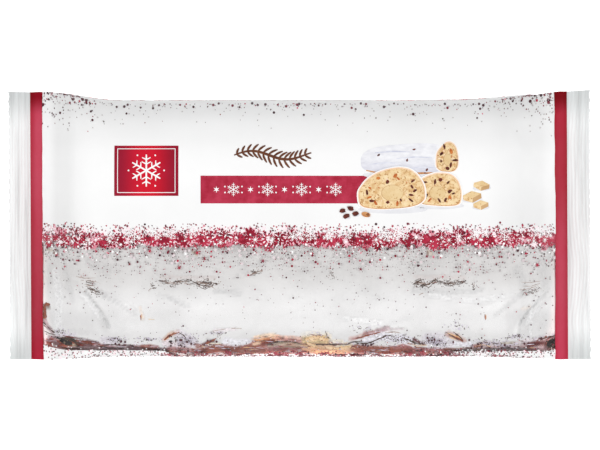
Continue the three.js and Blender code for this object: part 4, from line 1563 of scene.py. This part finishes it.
SMEARS = [  # soft smears on the loaf: line in x and y, width, paint and how much of what is below they cover
    # The smears in shade and light paint are painted shade and painted highlights beside the folds and cracks
    # and over the sugar. The pale grey and rose smears low on the foot are partly the crust's colour and
    # partly painted light against the shade where the foot turns under.
    ([(-108.6, -33.2), (-103, -40.3), (-98.9, -47), (-96.9, -51)], 1.3, "shade", 0.62),
    ([(-110.7, -34.2), (-105.5, -40.8), (-101.5, -47)], 1.6, "light", 0.3),
    ([(-102, -33.7), (-91.3, -39.3), (-83.1, -44.9)], 1.7, "shade", 0.3),
    ([(-103.5, -30.6), (-98.4, -34.7)], 1.5, "shade", 0.25),
    ([(126.2, -33.7), (120.6, -38.3)], 1.5, "shade", 0.35),
    ([(120.6, -39.3), (115.5, -43.4), (111.9, -49.5)], 1.4, "shade", 0.6),
    ([(123.2, -40.8), (118.1, -44.9), (115, -50)], 1.6, "light", 0.35),
    ([(112.4, -34.2), (106.3, -39.3), (98.7, -45.4)], 2, "shade", 0.28),
    ([(117.5, -42.4), (117.5, -55.1)], 1.7, "light", 0.35),
    ([(-71.3, -34.7), (-56, -40.3)], 2, "shade", 0.2),
    ([(-66.2, -36.2), (-58.1, -40.8)], 1.2, "shade", 0.25),
    ([(-42.8, -32.7), (-30.5, -34.2)], 2.3, "shade", 0.3),
    ([(57.3, -32.2), (76.7, -33.7), (92, -32.2)], 2.6, "shade", 0.3),
    ([(66.5, -35.2), (86.9, -37.8), (102.2, -35.7)], 2.6, "light", 0.3),
    ([(-124.4, -23.5), (-122.4, -37.8), (-123.4, -53.1)], 4.1, "light", 0.3),
    ([(-119.3, -22.5), (-115.2, -37.8)], 3.1, "shade", 0.18),
    ([(110.4, -21.4), (114.5, -33.7)], 4.6, "shade", 0.25),
    ([(122.6, -18.4), (125.2, -30.1)], 4.6, "shade", 0.25),
    ([(-27.9, -22.5), (-19.3, -19.4)], 3.1, "shade", 0.2),
    ([(-107.1, -18.4), (-96.9, -22.5)], 4.1, "shade", 0.2),
    ([(-117.3, -53.1), (-108, -54.6)], 2, "shade", 0.16),
    ([(-122.4, -55.6), (-114.2, -55.1)], 1.5, "lilac", 0.5),
    ([(23.1, -47), (41, -49)], 2.6, "light", 0.3),
    ([(46.1, -49), (56.3, -46.5)], 2, "shade", 0.18),
    ([(-131.6, -41), (-128.5, -41.3)], 1.8, "brown", 0.9),
    ([(-131.1, -41.5), (-130.8, -44.1), (-130.8, -47.1)], 2.3, "brown", 0.9),
    ([(-131.3, -47.1), (-129.5, -50.7), (-126.5, -54.3)], 2, "mauve", 0.7),
    ([(-130.6, -50.7), (-128, -53.3)], 0.8, "dark_mauve", 0.7),
    ([(-128.2, -59.3), (-125.5, -59.6), (-122.4, -60.4)], 3.6, "wine", 0.9),
    ([(-129, -57), (-124.9, -56.6), (-121.3, -57.4)], 1.5, "mauve", 0.8),
    ([(-129.5, -62.2), (-124.9, -62.9), (-119.8, -63.4)], 1.6, "rose_grey", 0.9),
    ([(-120.8, -58.2), (-117.7, -57.1), (-114.7, -58.9), (-112.9, -61.5)], 2, "olive_black", 1),
    ([(-121, -63), (-116.2, -63.4), (-110.6, -63.2)], 2.2, "rose_grey", 0.9),
    ([(-118.3, -60.2), (-115.2, -61.2)], 2, "olive", 0.9),
    ([(-114.7, -56.8), (-108.5, -57.7), (-102.9, -59.2)], 0.9, "dark_mauve", 0.7),
    ([(-112.5, -59.4), (-108, -60), (-103.4, -60.6)], 3.4, "wine", 0.85),
    ([(-110.5, -59.4), (-107, -59.8), (-104.6, -60.4)], 1.6, "rust", 0.8),
    ([(-113.1, -58.4), (-109, -60.5), (-103.4, -62)], 1, "mauve", 0.7),
    ([(-112, -62.6), (-102.4, -63), (-93.1, -63.2), (-82, -63.2)], 2.4, "mauve_grey", 0.95),
    ([(-103.9, -61), (-98.3, -61.8), (-93.1, -62.5)], 2.6, "rose_grey", 0.85),
    ([(-100.3, -57.9), (-97.2, -58.9), (-94.2, -58.9)], 3.3, "lilac", 0.55),
    ([(-93.1, -61.5), (-86.5, -61.5)], 2.4, "grey", 0.8),
    ([(-87, -62.3), (-80.3, -62)], 2.6, "mauve", 0.95),
    ([(-80.3, -61.5), (-76.7, -61.8), (-73.2, -62.5)], 2.8, "rust", 0.9),
    ([(-109, -64.4), (-97, -64.8), (-84, -64.9)], 2.6, "grey", 0.95),
    ([(-84, -63.8), (-75.7, -64)], 1.6, "rose_grey", 0.8),
    ([(-73.7, -63), (-66.5, -63.5)], 2, "wine", 0.8),
    ([(-69.1, -57.9), (-66.5, -55.3), (-61.9, -53.7)], 2.3, "amber", 0.55),
    ([(-61.4, -54.8), (-57.8, -56.4), (-53.7, -59.4)], 4.6, "lilac", 0.6),
    ([(-68, -59.4), (-62.4, -60.5), (-56.2, -60.7)], 3.6, "pale_pink", 0.85),
    ([(-66.5, -63.3), (-58.3, -63.5), (-51.1, -63.5)], 3.1, "rose_brown", 0.85),
    ([(-50.6, -61.2), (-47, -59.3), (-43.9, -58.3)], 2, "wine", 0.9),
    ([(-53.2, -60.7), (-49.6, -61.8), (-46.5, -63)], 2, "rust", 0.8),
    ([(-49.3, -61.5), (-46.5, -62.5)], 1, "pale_amber", 0.8),
    ([(-46, -60.5), (-40.9, -60.5)], 2.3, "cream", 0.85),
    ([(-47, -63.3), (-40.9, -62.3), (-33.2, -63)], 3.6, "rust", 0.95),
    ([(-40.9, -61.2), (-36.8, -60.8), (-33.7, -62)], 1.8, "rust", 0.9),
    ([(-37.8, -58.9), (-31.6, -60), (-26.5, -59.4)], 4.1, "pale_lilac", 0.6),
    ([(-34.7, -63.8), (-27.5, -63.8), (-19.3, -63.8)], 4.1, "dark_rust", 0.9),
    ([(-30.6, -62.2), (-25.5, -61.1), (-19.3, -60.4)], 2.3, "rust", 0.9),
    ([(-22.4, -58.2), (-18, -57.4), (-14, -57), (-11, -57)], 3.2, "orange", 0.75),
    ([(-22.6, -57), (-18, -55.8), (-13.2, -55.5)], 2.5, "pale_amber", 0.8),
    ([(-23.6, -60.4), (-20.8, -59.6)], 1.8, "pale_amber", 0.7),
    ([(-19.4, -59), (-15.4, -57.6)], 1.3, "rust", 0.6),
    ([(-18.6, -60.2), (-16, -59), (-13.6, -58.2)], 2, "deep_rust", 0.95),
    ([(-11.4, -56.8), (-5, -56.9), (0.6, -57.6)], 2.8, "salmon", 0.75),
    ([(-11.6, -57.6), (-6, -57.8), (0, -58.6)], 1.5, "pink", 0.6),
    ([(-9, -60.6), (-3, -60.2), (1, -60.6)], 2.2, "salmon", 0.7),
    ([(-10, -56.8), (-8.4, -57)], 0.8, "wine", 0.7),
    ([(-4.4, -57.5), (-2.6, -57.7)], 0.9, "wine", 0.7),
    ([(-15.8, -61.7), (-11.1, -60.2), (-5, -60.3), (0.6, -61)], 1.6, "olive", 0.65),
    ([(-15.2, -63), (-7, -62.3), (1.7, -63)], 2.3, "rose_brown", 0.9),
    ([(-16.3, -60.7), (-12.2, -59.2), (-9.1, -59.4)], 0.9, "black", 0.8),
    ([(-8.1, -59.4), (-4, -59.1), (0.6, -60)], 0.9, "olive_black", 0.5),
    ([(1.6, -55.4), (9.4, -54.6), (15, -56.6)], 3, "cream", 0.35),
    ([(13.5, -55.1), (16, -58.9), (21, -58.9)], 2.6, "cream", 0.75),
    ([(3.2, -57.9), (7.3, -57.6), (12.4, -57.9)], 4.9, "tan", 1),
    ([(2.2, -56.2), (8.3, -55.8)], 1.3, "cream", 0.7),
    ([(2.2, -60.3), (12.9, -60.3)], 0.9, "brown", 0.85),
    ([(1.7, -62), (6.3, -63)], 3.1, "peach", 0.95),
    ([(5.8, -63), (15.5, -63.3), (27.3, -62.5)], 5.1, "peach", 1),
    ([(8.3, -65.3), (23.7, -65.3)], 2, "peach", 0.9),
    ([(18.6, -61.5), (26.8, -61)], 1.5, "cream", 0.8),
    ([(17.6, -60.3), (23.7, -60.5), (26.8, -59), (32.9, -59.4), (39.6, -57)], 0.8, "black", 0.7),
    ([(26, -57.4), (29.3, -56.6), (34, -55.1), (39.6, -53.8)], 2.4, "blush", 0.6),
    ([(32.6, -55.6), (35.6, -55.1)], 1.9, "brown", 0.6),
    ([(27, -57.5), (29.8, -56.8)], 1.3, "rose_brown", 0.6),
    ([(40.4, -54.2), (42.2, -53.2)], 1.6, "rose_brown", 0.55),
    ([(29.3, -57), (35, -56.2), (39.6, -55)], 0.9, "brown", 0.7),
    ([(32.9, -54.3), (37.5, -53.6)], 1.8, "rose_brown", 0.7),
    ([(39.6, -53.3), (44.7, -51.9)], 2.3, "mauve", 0.8),
    ([(44.2, -52.5), (52.4, -52.3)], 1.3, "grey", 0.7),
    ([(34, -58.4), (41.1, -56.2), (51.4, -57.1), (56, -58.9)], 4.6, "pale_lilac", 0.7),
    ([(58, -57.7), (60.6, -59.2), (63.7, -60.3)], 1.5, "wine", 0.95),
    ([(55.5, -59.7), (59.6, -61.2), (64.2, -60.8)], 1, "peach", 0.6),
    ([(27.8, -62.7), (37, -63.3), (46.8, -63.5)], 4.6, "rust", 0.95),
    ([(46.3, -63.7), (52.4, -64.1), (58, -63.9)], 3.6, "rust", 0.9),
    ([(48.8, -62.2), (52.4, -61), (56, -61.8)], 2, "pink", 0.9),
    ([(56, -63.3), (64.2, -63.8), (72.4, -63.8)], 3.3, "rose_brown", 0.85),
    ([(65.2, -57.4), (70.3, -57.4), (76, -60.5)], 6.1, "lilac", 0.5),
    ([(75.4, -54.8), (79.6, -56.4), (83.7, -58.6)], 3, "blush", 0.7),
    ([(76, -55.4), (79.6, -57), (83, -58.8)], 1.1, "brown", 0.8),
    ([(71.9, -63.9), (78, -64.1), (83.2, -63.9)], 2, "rose_brown", 0.85),
    ([(79, -60), (87, -60.3)], 2.6, "pale_lilac", 0.7),
    ([(74, -62.8), (81, -63), (86, -62.5)], 1.3, "dark_rust", 0.8),
    ([(88.6, -61.7), (91, -61.1), (94.1, -61.1)], 2.2, "rust", 0.95),
    ([(94.4, -61), (102.6, -61.5), (115.4, -60.7)], 4.6, "grey", 0.8),
    ([(95.5, -62), (107.8, -62.2), (115.4, -61.8)], 1.4, "rose_brown", 0.6),
    ([(101.6, -60), (108.8, -59.4)], 1.5, "olive", 0.6),
    ([(86, -63), (98, -63.2), (112, -62.6), (122, -61.8)], 1.6, "blush", 0.6),
    ([(84, -63.8), (97, -63.6), (112, -63), (126, -62.6)], 2.6, "grey", 0.95),
    ([(76, -65), (86, -65), (95, -64.6)], 2, "grey", 0.85),
    ([(117, -61), (121.6, -60), (126, -59.4)], 2.7, "wine", 1),
    ([(114.4, -58.6), (123.1, -57.2), (130.8, -56.1)], 1.6, "pale_pink", 0.7),
    ([(126.7, -62), (129.3, -60.2), (131.3, -58.4)], 3.3, "olive_black", 1),
    ([(117, -62.8), (125.7, -62.8), (131.3, -62.7)], 1.3, "mauve", 0.85),
    ([(-130.7, -56.6), (-130.9, -60), (-130.8, -63.4)], 1.5, "pale_pink", 0.85),
    ([(-110.6, -25.6), (-104.4, -27.7)], 1.5, "blush", 0.16),
    ([(-69.6, -25.6), (-43.4, -26.1)], 2, "blush", 0.16),
    ([(58, -25.6), (83.2, -26.1)], 2, "blush", 0.14),
    ([(-43.4, -53.3), (-33.2, -52.3)], 2, "pale_pink", 0.5),
    ([(112.9, -42), (117, -41)], 1.5, "pale_amber", 0.25),
    ([(-80.8, -41.5), (-79.3, -47.1)], 1.5, "pale_amber", 0.3),
    ([(-54.2, -12.8), (-52.1, -14.3)], 1.7, "tan", 0.5),
    ([(64.7, -12.8), (66.8, -14.3)], 1.6, "tan", 0.4),
    ([(-129, -11.8), (-126.5, -12.3)], 1.5, "tan", 0.4),
]


def lay_smears(piece, grid):
    """Paints the smears on a mesh of the loaf, where it faces the window."""
    points = grid.reshape(-1, 3)
    warp = layered(points * [0.6, 1, 0.7], 2.4, 81, 3)
    colour, cover = np.zeros((len(points), 3)), np.zeros(len(points))
    shown = (points[:, 1] < 0) & (points[:, 2] > 4)
    for line, width, paint, most in SMEARS:
        low, high = np.min(line, axis=0) - width - 1, np.max(line, axis=0) + width + 1
        near = np.flatnonzero(shown & (points[:, :2] > low).all(axis=1) & (points[:, :2] < high).all(axis=1))
        distance = distance_to_line(points[near, 0], points[near, 1], line)
        inside = width / 2 * (1 + 0.5 * warp[near]) - distance
        share = most * smooth(inside / (0.3 * width + 0.3) + 0.5)
        left = cover[near] * (1 - share)  # what still shows of the smears below
        sum_of_both = share[:, None] * srgb(*PAINTS[paint])[:3] + left[:, None] * colour[near]
        cover[near] = share + left
        colour[near] = sum_of_both / np.maximum(cover[near], 1e-6)[:, None]
    smear = np.zeros((len(points) + 2, 4))  # the two end points of the tube stay bare
    smear[:-2] = np.concatenate([colour, cover[:, None]], axis=1)
    attribute = piece.data.color_attributes.new("smear", "FLOAT_COLOR", "POINT")
    attribute.data.foreach_set("color", smear.ravel())


def make_loaf():
    """The crust and its coat of sugar. Gives back the surface of both, for laying things on."""
    crust_points, sugar_points, coat = loaf_surfaces()
    crust = closed_tube("loaf", crust_points, [CRUST_LOOK])
    thin = face_share((coat < 0.55).astype(float)) > 0.5
    sugar = closed_tube("sugar_coat", sugar_points, [SUGAR_LOOK, DUST_LOOK], thin.astype(int))
    lay_smears(crust, crust_points)
    lay_smears(sugar, sugar_points)
    surface = np.where((coat > 0)[..., None], sugar_points, crust_points).reshape(-1, 3)
    return BVHTree.FromPolygons(surface.tolist(), ring_faces(*coat.shape).tolist())


LOAF = make_loaf()


def on_loaf(x, y):
    """Points and normals of the loaf straight below the given places, or nearest to them."""
    points, normals = np.empty((len(x), 3)), np.empty((len(x), 3))
    for k, (px, py) in enumerate(zip(x, y)):
        place, normal, *_ = LOAF.ray_cast(Vector((px, py, 80)), Vector((0, 0, -1)))
        if place is None:
            place, normal, *_ = LOAF.find_nearest(Vector((px, py, FOOT_HEIGHT)))
        points[k] = place
        normals[k] = normal if normal.z > 0 else -normal
    return points, normals


def ragged_stroke(patches, line, width, height, kind, wander=0.0):
    """An uneven streak along a line, thin at its ends, which may wander off the line."""
    centre, across, share = walk(line, 0.4, 5)
    aside = 0.4 * width * layered(centre, 1.6, 71, 2) + wander * layered(centre, 1.3, 77, 2)
    centre += across * aside[:, None]
    half = width / 2 * (1 + 0.8 * layered(centre + 40, 1.1, 73, 2))
    half *= 0.15 + 0.85 * np.sin(math.pi * (0.06 + 0.88 * share)) ** 0.7
    rows = np.linspace(1, -1, max(3, math.ceil(width / 0.5) + 1))
    place = centre[:, None] + across[:, None] * (half[:, None] * rows)[..., None]
    heights = 0.02 + height * (1 - rows**2) * (0.7 + 0.5 * field(place, 0.9, 75, 1))
    patches.lay_grid(place, heights.ravel(), kind)


STAINS = [  # faint marks high on the coat, in x and y, with their width
    ([(-53.6, -13.4), (-51.4, -14)], 1.6),
    ([(64.6, -12.6), (64.9, -15.4)], 1.2),
    ([(-126, -13.6), (-124.6, -13.9)], 1.2),
]
BAKED_PATCHES = [  # fine lines of the baked crust, each with its width and its look
    ([(-131.5, -50.6), (-129.6, -52.2)], 0.5, WINE),
    ([(-127, -56.6), (-123, -57), (-118, -56.8), (-113, -59.5), (-106, -61)], 0.7, CRACK),
    ([(-121, -55.9), (-116, -56.6), (-111.5, -57.8)], 0.5, WINE),
    ([(-105, -60.8), (-98, -62.2), (-92, -62.8)], 0.5, CRACK),
    ([(-92, -60.6), (-86, -61.4), (-80, -62.4)], 0.5, CRACK),
    ([(-14.2, -61.5), (-10.6, -59.4), (-6.0, -58.9), (-0.9, -60.0)], 0.5, OLIVE),
    ([(-12.2, -63.0), (-7.0, -61.5), (0.1, -62.0)], 0.5, OLIVE),
    ([(43.2, -54.1), (47.8, -53.8), (51.4, -54.3)], 0.5, SPLIT),
    ([(126.2, -58.4), (128.3, -57.1), (131.3, -56.4)], 0.6, WINE),
]


def bake_fibres(scabs, count):
    """Short streaks along the bare crust, in all its browns."""
    x = random.uniform(-131, 129, count)
    share = random.uniform(-0.06, 1, count)
    edge = np.interp(x, *np.transpose(COAT_EDGE))
    y = edge - share * (edge + 66.2)
    browns, odds = [CRACK, SCAB, MAUVE, WINE, LILAC, BAKED], [0.04, 0.38, 0.15, 0.24, 0.13, 0.06]
    kind = random.choice(browns, count, p=odds)
    kind = np.where((np.abs(x - 104) < 9) & (random.random(count) < 0.6), LILAC, kind)
    for px, py, look in zip(x, y, kind):
        half, (first, last) = random.uniform(1.4, 5.5) / 2, random.normal(0, 0.35, 2)
        line = [(px - half, py + first), (px, py), (min(px + half, 131), py + last)]
        ragged_stroke(scabs, line, random.uniform(0.25, 0.6), 0.08, look)


def split_coat(scabs):
    """The dark cracks high on the coat, each with three finer ones beside it."""
    for line, width in CRACKS:
        ragged_stroke(scabs, line, 0.9 * width, 0.05, CRACK)
        for shift in ([0.7, -0.5], [-0.6, 0.5], [0.2, -1.0]):
            ragged_stroke(scabs, np.array(line) + shift, 0.5 * width, 0.05, CRACK, 1.0)


def crumble_cracks(scabs):
    """Dark specks along the cracks."""
    for line, _ in CRACKS:
        line = np.asarray(line)
        count = 6 + int(2.4 * lengths(*line.T)[-1])
        at = random.uniform(0, len(line) - 1, count)
        low = at.astype(int)
        near = line[low] + (at - low)[:, None] * (line[low + 1] - line[low])
        near += random.normal(0, 1.1, (count, 2))
        sizes, kinds = random.uniform(0.12, 0.34, count), random.integers(0, 2, count)
        scabs.stamp(DOT, *near.T, sizes, heights=0.03, kind=kinds)


def lay_loaf_details():
    """Cracks, splits, streaks of crust and lumps of marzipan on the loaf."""
    scabs = Patches("crust_scabs", "crust", SCAB_LOOKS, 0, 0, on_loaf)
    bake_fibres(scabs, 285)
    for line, width, kind in BAKED_PATCHES:
        ragged_stroke(scabs, line, width, 0.14, kind)
    for lines, kind, height in (
        (STAINS + SPLITS, SPLIT, 0.02),
        (BROWN_SCABS, SCAB, 0.16),
        (BAKED_EDGES, BAKED, 0.2),
    ):
        for line, width in lines:
            ragged_stroke(scabs, line, width, height, kind)
    split_coat(scabs)
    for line, width in FOOT_CREVICES:
        ragged_stroke(scabs, line, width, 0.22, CRACK)
    crumble_cracks(scabs)
    scabs.make()
    lumps = Patches("marzipan_lumps", "nut", [NUT_LOOK], 0, 0, on_loaf)
    for line, width in MARZIPAN_LUMPS:
        ragged_stroke(lumps, line, 0.55 * width, 0.5, 0)
    lumps.make()


lay_loaf_details()


RAISINS = [  # x and y of the middle, half length, half width, turn in degrees
    (-118.6, -59.4, 4.2, 2.3, -14),
    (127.8, -60.5, 3.2, 2.0, 24),
    (-122.4, -57.2, 2.0, 1.0, 10),
    (70.2, -60.2, 1.3, 0.8, 60),
    (-65.8, -58.8, 1.2, 0.8, 20),
]


def add_raisins():
    """Shrivelled raisins that sit in the crust, as one piece."""
    rings, size = 22, 40
    around, up = np.meshgrid(round_angles(size), np.linspace(-1.45, 1.45, rings))
    ball = np.stack([np.cos(up) * np.cos(around), np.cos(up) * np.sin(around), np.sin(up)], -1).reshape(-1, 3)
    middles, _ = on_loaf(*np.transpose(RAISINS)[:2])
    points, faces = [], []
    for k, ((_, _, long, wide, turn), middle) in enumerate(zip(RAISINS, middles)):
        folds = 1 + 0.16 * layered(ball * [1.2, 3, 1] + 10 * k, 0.8, 91 + k, 3)[:, None]
        shape = ball * [long, wide, 0.8 * wide] * folds
        shape[:, :2] = turned(shape[:, :2], math.radians(turn))
        points.append(middle + [0, 0.3 * wide, -0.35 * wide] + shape)
        start, end = k * len(ball), (k + 1) * len(ball)
        faces += (ring_faces(rings, size) + start).tolist()
        faces.append([*range(start + size - 1, start - 1, -1)])
        faces.append([*range(end - size, end)])
    make_piece("raisins", np.concatenate(points), faces, [FRUIT_LOOK], sharp=60)


add_raisins()

CRUMB_HEAPS = [  # x and y of the middle, spread along and across, and how many crumbs
    (-58.5, -58, 5.5, 2.8, 190),
    (-77, -57.5, 6, 0.8, 60),
    (-95, -57.5, 4, 1.2, 90),
    (69, -59, 5, 2.4, 240),
    (50, -57.5, 9, 2.4, 160),
    (98, -59.5, 7, 1.6, 140),
    (34, -52.5, 6, 2.0, 40),
    (-44, -54.5, 6, 1.4, 30),
    (-122, -54, 4, 1.6, 70),
    (110, -56.5, 6, 1.2, 80),
    (80, -51, 5, 2.5, 50),
]


def add_crumbs(name, material, x, y, sizes):
    """Small broken grains that lie on the loaf, as one piece."""
    place, normal = on_loaf(x, y)
    count = len(x)
    corners = np.array([(1, 0, 0), (-1, 0, 0), (0, 1, 0), (0, -1, 0), (0, 0, 1), (0, 0, -1)], float)
    faces = np.array([(0, 2, 4), (2, 1, 4), (1, 3, 4), (3, 0, 4), (2, 0, 5), (1, 2, 5), (3, 1, 5), (0, 3, 5)])
    size = random.uniform(*sizes, count)[:, None, None]
    shape = corners * size * random.uniform(0.6, 1.25, (count, 6, 1))
    spin = np.linalg.qr(random.normal(0, 1, (count, 3, 3)))[0]
    spin[:, :, 0] *= np.sign(np.linalg.det(spin))[:, None]
    points = place[:, None] + normal[:, None] * 0.15 * size + shape @ spin
    index = 6 * np.arange(count)[:, None, None] + faces
    make_piece(name, points.reshape(-1, 3), index.reshape(-1, 3).tolist(), [material], sharp=30)


def scatter_crumbs():
    """Crumbs in heaps on the foot and along the coat's edge, half of them sugar and half crust."""
    x, y, wide, high, count = np.transpose(CRUMB_HEAPS)
    which = np.repeat(np.arange(len(count)), count.astype(int))
    heap_x = x[which] + wide[which] * random.normal(0, 0.6, len(which))
    heap_y = y[which] + high[which] * random.normal(0, 0.6, len(which))
    edge_x = random.uniform(-132, 131, 320)
    edge_y = np.interp(edge_x, *np.transpose(COAT_EDGE)) + random.normal(0.2, 1.0, 320)
    x, y = np.concatenate([heap_x, edge_x]), np.concatenate([heap_y, edge_y])
    inside = (np.abs(x) < 131) & (y > -65)
    x, y = x[inside], y[inside]
    draw = random.random(len(x))
    add_crumbs("sugar_crumbs", SCAB_LOOKS[LILAC], x[draw < 0.5], y[draw < 0.5], (0.25, 0.5))
    add_crumbs("crust_crumbs", SCAB_LOOKS[CRACK], x[draw > 0.5], y[draw > 0.5], (0.2, 0.42))


scatter_crumbs()


# ---------------------------------------------------------------- camera, light, floor
def make_camera():
    """Looks straight down on the pack, with its +Y side up in the frame."""
    frame_width = 309.2  # what the frame spans at the seals
    data = bpy.data.cameras.new("camera")
    data.lens = 180
    data.sensor_width = 36
    data.clip_end = 20
    distance = frame_width * data.lens / data.sensor_width
    camera = bpy.data.objects.new("camera", data)
    camera.location = Vector((0.1, 0.5, SEAL_HEIGHT + distance)) * MM
    bpy.context.scene.collection.objects.link(camera)
    bpy.context.scene.camera = camera


def area_light(name, place, aim, size, power):
    """A square light at a place, aimed at another, both in metres."""
    data = bpy.data.lights.new(name, "AREA")
    data.shape = "SQUARE"
    data.size = size
    data.energy = power
    light = bpy.data.objects.new(name, data)
    light.location = place
    light.rotation_euler = (Vector(aim) - Vector(place)).to_track_quat("-Z", "Y").to_euler()
    bpy.context.scene.collection.objects.link(light)
    return light


def make_floor():
    """A white floor whose own glow shows in the picture, but lights nothing else."""
    size = 3
    corners = [(-size, -size, 0), (size, -size, 0), (size, size, 0), (-size, size, 0)]
    mesh = bpy.data.meshes.new("floor")
    mesh.from_pydata(corners, [], [(0, 1, 2, 3)])
    glow = patterned("floor_paper", [(240, 240, 240), (243, 243, 243)], 300, 0.9, 3, 0.01,
                     Emission_Color=(1, 1, 1, 1), Emission_Strength=0.75)
    mesh.materials.append(glow)
    floor = bpy.data.objects.new("floor", mesh)
    bpy.context.scene.collection.objects.link(floor)
    lit_by_glow = bpy.data.collections.new("lit_by_glow")
    lit_by_glow.objects.link(floor)
    floor.light_linking.receiver_collection = lit_by_glow


def make_lights():
    """Soft light from all round, a box light over each end, and one on the window's side."""
    scene = bpy.context.scene
    scene.view_settings.view_transform = "Standard"
    world = bpy.data.worlds.new("studio")
    world.use_nodes = True
    world.node_tree.nodes["Background"].inputs["Color"].default_value = (1, 1, 1, 1)
    world.node_tree.nodes["Background"].inputs["Strength"].default_value = 0.5
    scene.world = world
    for side in (-1, 1):
        light = area_light("end_light", (side * 1.1, 0.1, 1.2), (0, 0, 0), 0.7, 8)
        light.visible_glossy = False  # a box of light would show as a hard patch in the film
    area_light("window_light", (0.1, -1.25, 1.15), (0, -0.03, 0), 0.8, 8)


make_camera()
make_floor()
make_lights()
